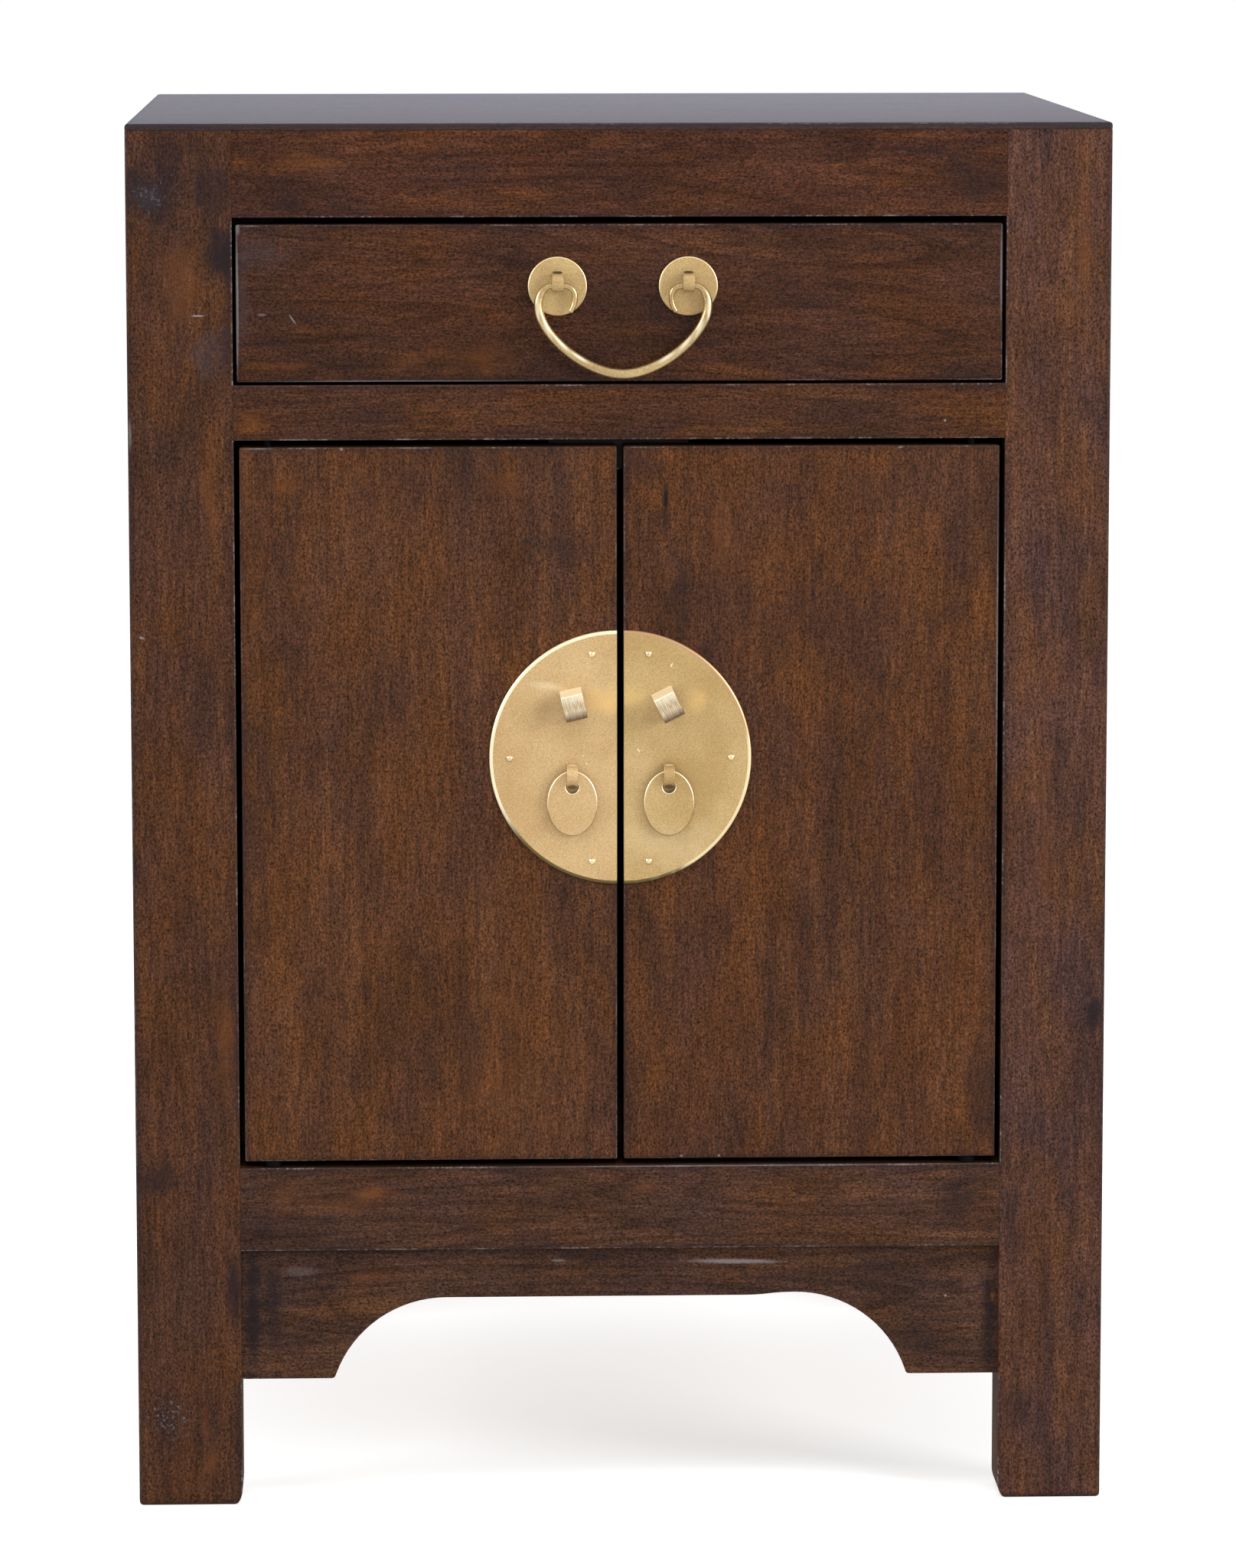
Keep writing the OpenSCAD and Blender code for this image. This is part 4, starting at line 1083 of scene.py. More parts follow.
def clinched(
    front: list[np.ndarray], low: float, high: float, back: float, thickness: float, clinch: float,
    bend: float,
) -> np.ndarray:
    """Return the middle line of a strap whose legs go through the wood and are bent flat behind it.

    Args:
        front: The parts of the line in front of the wood, from the lower leg to the upper one.
        low: The lower leg's height.
        high: The upper leg's height.
        back: The depth of the wood's back, from the path's origin.
        thickness: The strap's thickness.
        clinch: How far its ends reach past the legs.
        bend: The radius of the bends behind.

    Returns:
        Points [y, z] in mm.
    """
    back, end = back + thickness / 2, thickness / 2 + clinch
    return np.concatenate([
        [[back, low - end]],
        arc((back - bend, low - bend), bend, 0, 90, 5),
        *front,
        arc((back - bend, high + bend), bend, -90, 0, 5),
        [[back, high + end]],
    ])


def bezier(control: list[tuple[float, float]], steps: int) -> np.ndarray:
    """Return points on a cubic curve with four control points, without the first.

    Args:
        control: The control points.
        steps: How many points there are.

    Returns:
        The points.
    """
    t = np.linspace(0, 1, steps + 1)[1:, None]
    weights = np.concatenate([(1 - t) ** 3, 3 * (1 - t) ** 2 * t, 3 * (1 - t) * t ** 2, t ** 3], axis=1)
    return weights @ np.array(control)


# Pieces


def dress(node: str, material: Material) -> None:
    """Give a frame node its finish.

    Args:
        node: The frame's node.
        material: Its finish.
    """
    for place in frame["nodes"][node].material_slots:
        place.material = material
    log.info("%s has %s", node, material.name)


def stand_for(piece: Piece, node: str, body: str, slot: str, *materials: Material) -> None:
    """Let a new piece take a frame node's place, ride on its body and have its finishes.

    Args:
        piece: The new piece.
        node: The frame's node.
        body: The body that carries it.
        slot: Its slot's name; not used.
        materials: Its finishes, in the order of its mesh's slots.
    """
    for material in materials:
        piece.data.materials.append(material)
    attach(piece, body)
    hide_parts(node)
    log.info("%s stands for %s on %s", piece.name, node, body)


def box_mm(node: str) -> tuple[np.ndarray, np.ndarray]:
    """Return a frame node's lowest and highest corner in mm."""
    low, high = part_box(node)
    return np.array(low) / MM, np.array(high) / MM


@dataclass
class Strap:
    """A strap through a plate and the wood: round an eye, and bent flat behind."""

    leg: float
    eye_r: float
    rise: float
    width: float
    wood: float
    thickness: float = 1.0
    clinch: float = 5.0
    ease: float = 0.22
    bend_r: float = 1.0

    def path(self) -> np.ndarray:
        """Return the strap's middle line from its lower end to its upper one, as points [y, z].

        Returns:
            The points.
        """
        r = self.eye_r + self.thickness / 2
        eye = [
            arc((-self.leg, 0), r, -90, -180, 18),
            arc((-self.leg, self.rise), r, 180, 90, 18)[(1 if self.rise == 0 else 0):],
        ]
        return clinched(eye, -r, self.rise + r, self.wood, self.thickness, self.clinch, self.bend_r)

    def build(self, name: str, place: np.ndarray) -> Piece:
        """Make the strap, with its eye's middle in front of a place on the plate."""
        return strip(name, self.path(), self.width, self.thickness, self.ease, place)


@dataclass
class DrawerPull:
    """Two rosettes with straps, and the bail that hangs in them."""

    spread: float = 55.8
    lift: float = 0.4
    leg: float = 3.6
    eye_r: float = 2.4
    drop: float = 37.5
    bow_run_mid: float = 16.0
    bow_run_side: float = 12.0
    flare: float = 8.2
    curl_reach: float = 5.0
    curl_bulge: float = 3.5
    shoulder: float = 8.5
    curl: float = 11.1
    middle_d: float = 4.4
    side_d: float = 3.9
    eye_d: float = 2.6
    end_d: float = 2.2
    seat_gap: float = 0.3
    rosette_t: float = 1.2
    rosette_ease: float = 0.45
    slot_rise: float = 5.95
    front_t: float = 18.0
    strap_rise: float = 1.2
    strap_w: float = 4.8
    end_ease: float = 0.3
    sides: int = 28
    # Painted highlights on the bail's arms and bow, mirrored: X from its middle, Z from its eyes, half length
    # and turn
    rubbed: tuple[tuple[float, float, float, float], ...] = (
        (36.3, -10, 7, 0), (32.4, -18.2, 6, 28), (26.3, -24.8, 7, 43), (18.6, -30.4, 6, 57),
    )
    strap: Strap = field(init=False)

    def __post_init__(self) -> None:
        """Work out the strap from the pull's own sizes."""
        wood = self.rosette_t + self.front_t
        self.strap = Strap(self.leg, self.eye_r, self.strap_rise, self.strap_w, wood)

    def _place(self) -> np.ndarray:
        """Return the place midway between the two straps' eyes, in mm.

        Returns:
            The place.
        """
        low, high = box_mm("rosette_left")
        _, far = box_mm("rosette_right")
        return np.array([(low[0] + far[0]) / 2, low[1] - self.leg, (low[2] + high[2]) / 2 + self.lift])

    def rosette(self, side: Side) -> Piece:
        """Make a rosette: a round plate with a rounded rim.

        Args:
            side: Which of the two.

        Returns:
            The piece.
        """
        low, high = box_mm(f"rosette_{side.word}")
        centre, radius, around = ((low + high) / 2)[[0, 2]], (high[0] - low[0]) / 2, circle(96)
        rim = eased_rim(high[1] - low[1], self.rosette_ease)
        return eased_plate(
            f"Rosette_{side.word}", lambda inset: centre + (radius - inset) * around, rim, high[1],
            polished=True,
        )

    def strap_piece(self, side: Side) -> Piece:
        """Make the strap that carries one end of the bail.

        Args:
            side: Which of the two.

        Returns:
            The piece.
        """
        low, high = box_mm(f"rosette_{side.word}")
        centre = (low + high) / 2
        eye_z = centre[2] + self.lift + self.eye_r - self.eye_d / 2 - self.seat_gap
        return self.strap.build(f"Bail_strap_{side.word}", np.array([centre[0], low[1], eye_z]))

    def bail(self) -> Piece:
        """Make the bail: a round bar whose middle line is a chain of cubic curves.

        It runs from its middle up the side, over the shoulder, straight through the strap and
        round to its curled end, and its radius changes smoothly from curve to curve.

        Returns:
            The piece.
        """
        strap_x = self.spread / 2
        side_x = strap_x + self.flare
        run = self.strap.width / 2 + self.seat_gap
        top = (strap_x + run, 0.0)
        curl_top = (strap_x - run, 0.0)
        end = (strap_x - 2 * run, -self.curl)
        mid, side = (self.bow_run_mid, -self.drop), (side_x, -self.shoulder - self.bow_run_side)
        neck, bulge = (side_x, -self.shoulder), (end[0] - self.curl_bulge, end[1] + self.curl / 2)
        curves = [
            ([(0.0, -self.drop), mid, side, neck], 30),
            ([neck, (side_x, -self.shoulder / 2), (side_x - self.flare / 4, 0.0), top], 18),
            ([top, top, curl_top, curl_top], 4),
            ([curl_top, (curl_top[0] - self.curl_reach, 0.0), bulge, end], 24),
        ]
        widths = [self.middle_d, self.side_d, self.eye_d, self.eye_d, self.end_d]
        points, radii = [np.array([[0.0, -self.drop]])], [np.array([self.middle_d / 2])]
        for (control, steps), start, stop in zip(curves, widths, widths[1:]):
            t = np.linspace(0, 1, steps + 1)[1:]
            points.append(bezier(control, steps))
            radii.append((start + (stop - start) * t * t * (3 - 2 * t)) / 2)
        half, half_r = np.concatenate(points), np.concatenate(radii)
        path = np.concatenate([half[:0:-1] * [-1, 1], half])
        radius = np.concatenate([half_r[:0:-1], half_r])
        return self._bar("Drawer_bail", path, radius, self._place())

    def _bar(self, name: str, path: np.ndarray, radius: np.ndarray, place: np.ndarray) -> Piece:
        """Carry a circle along a path in the X-Z plane, and ease both ends.

        At an end the circle shrinks by ease * (1 - cos(a)) over the last ease * (1 - sin(a)) of the
        path, so the end is flat with a rounded rim.

        Args:
            name: The new piece's name.
            path: Points [x, z] of the bar's middle, in mm.
            radius: The bar's radius at each point.
            place: Where the path's origin lies, in mm.

        Returns:
            The piece.
        """
        run = directions(path)
        turn = np.radians([0, 30, 60, 90])
        short, thin = self.end_ease * (1 - np.sin(turn)), self.end_ease * (1 - np.cos(turn))
        first, last = path[0] + run[0] * short[::-1, None], path[-1] - run[-1] * short[:, None]
        path = np.concatenate([first, path[1:-1], last])
        radius = np.concatenate([radius[0] - thin[::-1], radius[1:-1], radius[-1] - thin])
        run = np.concatenate([np.tile(run[0], (4, 1)), run[1:-1], np.tile(run[-1], (4, 1))])
        across = np.stack([run[:, 1], -run[:, 0]], axis=-1)
        out, depth = (radius[:, None] * part for part in circle(self.sides).T)
        flat = path[:, None, :] + out[..., None] * across[:, None, :]
        points = np.stack([flat[..., 0], depth, flat[..., 1]], axis=-1)
        return shell(name, points + place)

    def build(self) -> None:
        """Make the whole pull."""
        boxes = [box_mm(f"rosette_{side.word}") for side in Side]
        _, front, foot = boxes[0][0]
        middles = [(low + high) / 2 for low, high in boxes]
        # A painted shadow in the open end of the slot over each strap
        slot_shadows = tuple(Spot(Mark.SLOT, x, z + self.slot_rise, 2.4, 0.5, 0.9) for x, _, z in middles)
        sheet = SatinBrass(
            "Satin brass rosettes", "#c3a672", "#ad8f60", marks=slot_shadows, front=front * MM
        ).material()
        rim = PolishedRim("#f4dfae", "#a58b5c").material("rosettes", painted_shade_z=foot + 4, painted_highlight_z=foot + 14)
        middle, y, eye_z = self._place()
        # Painted highlights where light falls on the bail
        rubbed = tuple(
            Spot(Mark.SHINE, middle + end * x, eye_z + z, 1.2, half, 0.85, end * turn)
            for end in (-1, 1) for x, z, half, turn in self.rubbed
        )
        rod = SatinBrass(
            "Lacquered brass rod", "#cdb17b", "#a88a58", relief=0.02, metallic=0.9, roughness=0.32,
            lacquer=0.9, marks=rubbed, front=y * MM,
        ).material()
        for side in Side:
            stand_for(self.rosette(side), f"rosette_{side.word}", "drawer", "satin_brass", sheet, rim)
            stand_for(self.strap_piece(side), f"bail_strap_{side.word}", "drawer", "satin_brass", sheet)
        stand_for(self.bail(), "drawer_bail", "bail", "satin_brass", rod)


@dataclass
class DoorBrass:
    """The brass of one door: half of the round plate, its nails, a lock staple and an oval pull."""

    side: Side
    staple_turn: float
    colour: str
    shade: str
    marks: tuple[Spot, ...] = ()
    # Share of the plate's height over which the rim goes from painted shade to painted highlight
    tarnished: Span = (0.15, 0.35)
    rim: PolishedRim = PolishedRim()
    plate_rim: float = 0.8
    plate_rim_w: float = 1.5
    straight_ease: float = 0.15
    nail_ring_r: float = 46.2
    nail_angle: float = 76.5
    nail_head_d: float = 3.2
    nail_head_h: float = 1.2
    nail_shank_d: float = 1.6
    nail_l: float = 10.0
    nail_top: float = 0.06  # radians from the top of a head to the innermost ring
    staple_w: float = 9.5
    staple_h: float = 12.6
    staple_reach: float = 13.0
    staple_fall: float = 1.3
    staple_t: float = 1.2
    staple_x: float = 18.9
    staple_rise: float = 23.6
    staple_top_r: float = 1.6
    staple_low_r: float = 4.0
    staple_bend_r: float = 1.2
    staple_ease: float = 0.2
    clinch: float = 5.0
    door_t: float = 18.0
    pull_rim: float = 4.3
    pull_ease: float = 0.42
    pull_eye_r: float = 3.9
    pull_strap_w: float = 4.7
    pull_strap_lift: float = 1.2
    pull_fit: float = 0.1

    def _plate(self) -> tuple[np.ndarray, float, float]:
        """Return the middle of the plate's straight edge on its front face, radius and thickness.

        Returns:
            The place, the radius and the thickness, in mm.
        """
        low, high = box_mm(f"round_plate_{self.side.word}")
        x = low[0] if self.side is Side.RIGHT else high[0]
        return np.array([x, low[1], (low[2] + high[2]) / 2]), high[0] - low[0], high[1] - low[1]

    def plate(self) -> Piece:
        """Make half of the round plate.

        Drawn in by d, its outline is an arc of the radius less d, cut off straight at its door's
        free edge, where it is drawn in less.

        Returns:
            The piece.
        """
        middle, radius, thickness = self._plate()

        def outline(inset: float) -> np.ndarray:
            """Return the outline drawn in.

            Args:
                inset: How far, in mm.

            Returns:
                Points [x, z] in mm.
            """
            edge = min(inset, self.straight_ease)
            reach = math.degrees(math.acos(edge / (radius - inset)))
            bow = arc((0, 0), radius - inset, -reach, reach, 120)
            straight = np.linspace(bow[-1], bow[0], 41)[1:-1]
            return np.concatenate([bow, straight]) * [self.side.value, 1] + middle[[0, 2]]

        rim, back = eased_rim(thickness, self.plate_rim, self.plate_rim_w), middle[1] + thickness
        return eased_plate(f"Round_plate_{self.side.word}", outline, rim, back, polished=True)

    def nails(self) -> Piece:
        """Make the plate's three nails: a shank, and a head that is a slice of a ball.

        Returns:
            The joined nails.
        """
        middle, _, thickness = self._plate()
        head_r, head_h = self.nail_head_d / 2, self.nail_head_h
        ball_r = (head_r ** 2 + head_h ** 2) / (2 * head_h)
        top = np.linspace(math.asin(head_r / ball_r), self.nail_top, 8)
        dome = np.stack([head_r - ball_r * np.sin(top), ball_r * np.cos(top) - ball_r + head_h], axis=-1)
        sunk = head_r - self.nail_shank_d / 2
        length = thickness + self.nail_l
        rim = np.concatenate([[[sunk, -length], [sunk, 0.0]], dome])
        places = arc((0, 0), self.nail_ring_r, -self.nail_angle, self.nail_angle, 2) * [self.side.value, 1]
        around = circle(48)
        return joined(f"Plate_nails_{self.side.word}", [
            eased_plate("Nail", lambda inset: place + (head_r - inset) * around, rim, middle[1])
            for place in places + middle[[0, 2]]
        ])

    def staple(self) -> Piece:
        """Make the lock staple: a strip bent tightly above and widely below, and clinched behind.

        Returns:
            The piece.
        """
        thickness = self._plate()[2]
        thick, half_t, half_h = self.staple_t, self.staple_t / 2, self.staple_h / 2
        front, high = self.staple_low_r - self.staple_reach, half_h - half_t
        lip = half_h - self.staple_fall - self.staple_top_r
        loop = [
            arc((front, self.staple_low_r - half_h), self.staple_low_r - half_t, -90, -180, 16),
            arc((front, lip), self.staple_top_r - half_t, 180, 90, 10),
            [[0, high]],
        ]
        path = clinched(loop, -high, high, thickness + self.door_t, thick, self.clinch, self.staple_bend_r)
        name, place = f"Lock_staple_{self.side.word}", self._staple_place()
        return strip(name, path, self.staple_w, thick, self.staple_ease, place, self.staple_turn)

    def _staple_place(self) -> np.ndarray:
        """Return where the lock staple's middle lies on the plate's front, in mm."""
        return self._plate()[0] + [self.side.value * self.staple_x, 0, self.staple_rise]

    def _hole(self) -> tuple[np.ndarray, np.ndarray, np.ndarray, float]:
        """Return the oval pull's corners, the middle of its hole as [x, z], and the hole's radius.

        Returns:
            The lowest and the highest corner, the hole's middle and its radius, in mm.
        """
        low, high = box_mm(f"oval_pull_{self.side.word}")
        radius = math.hypot(self.pull_strap_w / 2, self.pull_strap_lift) + self.pull_fit
        return low, high, np.array([(low[0] + high[0]) / 2, high[2] - self.pull_rim - radius]), radius

    def pull_strap(self) -> Piece:
        """Make the strap that carries the oval pull.

        Returns:
            The piece.
        """
        low, high, hole, _ = self._hole()
        middle, _, thickness = self._plate()
        leg = middle[1] - (low[1] + high[1]) / 2
        strap = Strap(leg, self.pull_eye_r, 0.0, self.pull_strap_w, thickness + self.door_t)
        axis_z = hole[1] + self.pull_eye_r + self.pull_strap_lift
        return strap.build(f"Pull_strap_{self.side.word}", np.array([hole[0], middle[1], axis_z]))

    def pull(self) -> Piece:
        """Make the oval pull.

        Its rings go round a profile: in from the oval's rim over the front to the hole, through the
        hole, and out over the back. A ring is the oval drawn in, or the hole's circle let out.

        Returns:
            The piece.
        """
        low, high, hole, hole_r = self._hole()
        centre, half = ((low + high) / 2)[[0, 2]], ((high - low) / 2)[[0, 2]]
        y, half_t = (low[1] + high[1]) / 2, (high[1] - low[1]) / 2
        rim, around = eased_rim(half_t, self.pull_ease)[1:], circle(120)
        outer = [(centre + (half - inset) * around, -depth) for inset, depth in rim]
        inner = [(hole + (hole_r + inset) * around, -depth) for inset, depth in rim[::-1]]
        front = outer + inner
        back = [(flat, -depth) for flat, depth in reversed(front)]
        rings = [np.insert(flat, 1, y + depth, axis=1) for flat, depth in front + back]
        bend = len(outer) - 2  # how many faces each rounding has
        rims = (range(bend), range(bend + 3, 2 * bend + 3))  # the front's, round the oval and the hole
        return shell(f"Oval_pull_{self.side.word}", np.array(rings), joined_ends=True, rims=rims)

    def build(self) -> None:
        """Make the door's brass."""
        word, door, slot = self.side.word, f"{self.side.word}_door", "satin_brass"
        y, place = self._plate()[0][1], self._staple_place()
        brass = SatinBrass(
            f"Satin brass plate {word}", self.colour, self.shade, marks=self.marks, front=y * MM
        ).material()
        nails = SatinBrass(
            f"Polished brass nails {word}", "#fff0c8", "#e6cf9f", metallic=1.0, roughness=0.2
        ).material()
        filed = FiledBrass(self.staple_turn, self.staple_h, self.staple_fall).material(word, place)
        low, high = box_mm(f"round_plate_{word}")
        # Heights of the rim's painted shade and painted highlight
        dull, clear = low[2] + np.array(self.tarnished) * (high[2] - low[2])
        rim = self.rim.material(f"plate {word}", dull, clear)
        foot = box_mm(f"oval_pull_{word}")[0][2]
        pull_rim = PolishedRim(dull="#a58b5c").material(f"pull {word}", painted_shade_z=foot + 8, painted_highlight_z=foot + 18)
        stand_for(self.plate(), f"round_plate_{word}", door, slot, brass, rim)
        stand_for(self.nails(), f"plate_nails_{word}", door, slot, nails)
        stand_for(self.staple(), f"lock_staple_{word}", door, slot, filed)
        stand_for(self.pull_strap(), f"pull_strap_{word}", door, slot, brass)
        stand_for(self.pull(), f"oval_pull_{word}", f"{word}_pull", slot, brass, pull_rim)


@dataclass
class Case:
    """The woodwork, with the stains and marks that the photograph shows on each board."""

    arris: float = 0.8
    top_arris: float = 2.6
    joints: tuple[Span, ...] = ((55.4, 149.5), (465.4, 488.9), (560.2, 600.0))

    def stained(self) -> dict[str, StainedWood]:
        """Return the stained boards' finishes: grain, seed, stain, and where each board is joined.

        Returns:
            A finish for each node.
        """
        ends, depth, top = Face.ENDS, Face.DEPTH, Face.TOP
        boards = {
            "top_board": StainedWood(
                # Its heavier edge darkening is painted shade on its rounded front arris as well as stain
                Axis.X, 1, warmth=0.3, tint=(0.55, 0.58, 0.9), edge_stain=0.85, sheen=0.25, bloom=0.177,
                relief=0.3, roughness=0.6, joined=Face.BOTTOM,
            ),
            "front_leg_left": StainedWood(Axis.Z, 2, tint=(0.81, 0.84, 1.0), joined=top, joints=self.joints),
            # The right leg's bluer tint is painted haze of light reflected from the right
            "front_leg_right": StainedWood(
                Axis.Z, 3, warmth=0.55, tint=(0.97, 1.08, 1.6), joined=top, joints=self.joints
            ),
            "top_rail": StainedWood(
                Axis.X, 6, warmth=0.8, figure=0.25, tint=(0.72, 0.68, 0.84), joined=ends | top
            ),
            "mid_rail": StainedWood(Axis.X, 7, warmth=0.6, figure=0.2, tint=(0.79, 0.78, 0.88), joined=ends),
            # The bottom rail's and the apron's darker, bluer tints paint less light and more haze low down
            "bottom_rail": StainedWood(
                Axis.X, 8, warmth=0.7, figure=0.3, tint=(0.77, 0.88, 1.25), joined=ends
            ),
            "apron": StainedWood(
                Axis.X, 9, warmth=0.7, figure=0.3, tint=(0.79, 0.91, 1.25), joined=ends | top
            ),
            "back_top_rail": StainedWood(Axis.X, 16, joined=ends | top),
            "back_bottom_rail": StainedWood(Axis.X, 17, joined=ends),
            "drawer_front": StainedWood(
                Axis.X, 18, slope=-4, warmth=0.6, figure=0.3, tint=(0.74, 0.72, 0.84)
            ),
            "door_left": StainedWood(Axis.Z, 19, figure=0.1),
            "door_right": StainedWood(Axis.Z, 20, figure=0.1, tint=(0.95, 0.94, 0.96)),
        }
        for i, side in enumerate(Side):
            boards |= {
                f"rear_leg_{side.word}": StainedWood(Axis.Z, 4 + i, joined=top),
                f"side_top_rail_{side.word}": StainedWood(Axis.Y, 10 + i, warmth=0.6, joined=depth | top),
                f"side_bottom_rail_{side.word}": StainedWood(Axis.Y, 12 + i, warmth=0.6, joined=depth),
                f"side_panel_{side.word}": StainedWood(Axis.Z, 14 + i, warmth=0.4),
            }
        marks = self.marks()
        return {node: replace(finish, spots=marks.get(node, ())) for node, finish in boards.items()}

    def marks(self) -> dict[str, tuple[Spot, ...]]:
        """Return the marks on each board that the photograph shows, at their X and Z in mm.

        Returns:
            The marks for each node, in the order in which they are laid on.
        """
        glaze, bare, scratch, specks = Mark.GLAZE, Mark.BARE, Mark.SCRATCH, Mark.SPECKS
        haze, knot = Mark.HAZE, Mark.KNOT
        return {
            "front_leg_left": (
                Spot(glaze, -197, 570, 17, 19, 0.9), Spot(specks, -199, 570, 10, 9, 0.15),
                Spot(glaze, -174, 574, 10, 13, 0.5), Spot(glaze, -171, 541, 10, 16, 0.85),
                Spot(haze, -199, 569, 10, 8, 0.2), Spot(glaze, -167, 520, 3, 42, 0.55),
                Spot(glaze, -188, 590, 24, 8, 0.3), Spot(haze, -176, 503, 10, 14, 0.22),
                Spot(glaze, -171, 496, 6, 22, 0.35), Spot(bare, -186, 532, 10, 22, 0.3),
                Spot(bare, -176, 440, 5, 20, 0.35), Spot(glaze, -168, 350, 4, 18, 0.45),
                Spot(glaze, -195, 143, 16, 12, 0.7), Spot(glaze, -168, 96, 5, 26, 0.75),
                Spot(glaze, -197, 41, 12, 14, 0.5), Spot(specks, -197, 39, 9, 11, 0.3),
                Spot(bare, -178, 20, 5, 14, 0.5), Spot(bare, -181, 38, 3, 14, 0.3),
                Spot(scratch, -179.4, 518.6, 3.6, 0.5, 0.7), Spot(scratch, -209, 468, 0.8, 8, 0.5),
                Spot(scratch, -205, 381, 1.6, 0.7, 0.6, 20), Spot(bare, -171, 205, 7, 34, 0.35),
            ),
            "front_leg_right": (
                Spot(glaze, 205, 216, 6, 9, 0.8), Spot(glaze, 206, 240, 5, 22, 0.4),
                Spot(glaze, 171, 120, 5, 22, 0.5), Spot(glaze, 175, 41, 6, 12, 0.5),
                Spot(bare, 198, 548, 4, 30, 0.35), Spot(bare, 183, 300, 5, 60, 0.2),
            ),
            "top_rail": (
                Spot(glaze, 152, 575, 14, 11, 0.4), Spot(glaze, -140, 565, 17, 3.5, 0.5),
                Spot(glaze, 128, 588, 30, 1.0, 0.5, 8), Spot(bare, -128, 583, 20, 5, 0.35),
            ),
            "mid_rail": (
                Spot(bare, -156, 472, 9, 6, 0.5), Spot(glaze, -106, 475, 15, 3.5, 0.4),
                Spot(scratch, 139, 473, 0.7, 0.6, 0.7),
            ),
            "bottom_rail": (
                Spot(bare, -111, 138, 10, 3, 0.45), Spot(bare, 12, 140, 9, 3, 0.4),
                Spot(bare, -125, 134, 36, 12, 0.25), Spot(glaze, 152, 138, 16, 10, 0.35),
                Spot(glaze, 147, 131, 13, 8, 0.5), Spot(glaze, -118, 121, 30, 1.4, 0.5, -3),
                Spot(glaze, -40, 117, 26, 1.2, 0.35, 2), Spot(scratch, 49, 149.2, 110, 0.35, 0.45),
            ),
            "apron": (
                Spot(glaze, -160, 85, 4.5, 30, 0.8), Spot(glaze, -151, 92, 4.5, 24, 0.55),
                Spot(scratch, -139, 103, 9, 3, 0.12), Spot(scratch, -27, 107, 4, 0.8, 0.45),
                Spot(scratch, 50, 106, 24, 1.3, 0.55, 1), Spot(glaze, -8, 109, 24, 3.5, 0.5),
                Spot(glaze, 131, 69, 9, 7, 0.4), Spot(glaze, 161, 84, 4, 30, 0.75),
                Spot(bare, 162.6, 89.5, 1.4, 2.6, 0.9), Spot(glaze, 105, 102, 30, 6, 0.35),
                Spot(bare, -112, 100, 14, 3, 0.3), Spot(scratch, 142, 90, 0.8, 0.8, 0.6),
            ),
            "drawer_front": (
                Spot(haze, -150, 546, 18, 12, 0.16), Spot(haze, -161, 525, 4, 28, 0.16),
                # The first glaze here is painted shade round the hanging bail
                Spot(glaze, 0, 522, 40, 16, 0.3), Spot(glaze, -130, 549, 24, 6, 0.3),
                Spot(scratch, -139.3, 516.8, 0.45, 3.2, 0.5, -35), Spot(scratch, -152.5, 519, 2.4, 0.8, 0.25),
                Spot(glaze, 101, 497, 16, 2, 0.5), Spot(glaze, -146, 508, 15, 5, 0.4),
                Spot(glaze, 80, 535, 50, 14, 0.25), Spot(bare, -70, 500, 40, 8, 0.3),
                Spot(bare, -143, 497, 18, 2.5, 0.35), Spot(scratch, -162.5, 556, 1.2, 4, 0.5),
                # The long thin scratches along the drawer front's right, left and bottom arrises are painted
                # highlights
                Spot(scratch, -157, 556.6, 5, 0.5, 0.3), Spot(scratch, 162.7, 535, 0.6, 24, 0.5),
                Spot(scratch, -162.9, 524, 0.8, 34, 0.7), Spot(scratch, -95, 490.5, 70, 0.6, 0.6),
            ),
            "door_left": (
                Spot(glaze, -158, 290, 14, 60, 0.35), Spot(glaze, -75, 452, 80, 18, 0.22),
                Spot(glaze, -152, 420, 16, 50, 0.2), Spot(bare, -50, 190, 40, 40, 0.15),
                Spot(bare, -143, 446, 8, 6, 0.3), Spot(bare, -112, 453, 6, 5, 0.35),
                Spot(bare, -51, 447, 9, 7, 0.25), Spot(glaze, -21, 420, 16, 12, 0.35),
                Spot(scratch, -119, 461.6, 0.9, 0.7, 0.9), Spot(scratch, -155, 461.8, 7, 0.4, 0.5),
            ),
            "door_right": (
                Spot(glaze, 80, 385, 80, 34, 0.28), Spot(glaze, 8, 452, 16, 14, 0.5),
                Spot(glaze, 158, 170, 9, 40, 0.5), Spot(glaze, 95, 445, 40, 20, 0.2),
                Spot(glaze, 19.3, 438, 2.6, 12, 0.7), Spot(knot, 19.6, 440, 1.1, 5, 0.8),
                Spot(bare, 43, 426, 8, 22, 0.25), Spot(glaze, 22, 390, 10, 14, 0.35),
                Spot(scratch, 26.3, 153.7, 0.8, 0.6, 0.9), Spot(scratch, 42.7, 153.7, 0.8, 0.6, 0.9),
                # The long scratch down the right arris is a painted highlight
                Spot(scratch, 162.1, 380, 0.5, 70, 0.35), Spot(scratch, 120, 461.6, 1.2, 0.5, 0.7),
            ),
        }

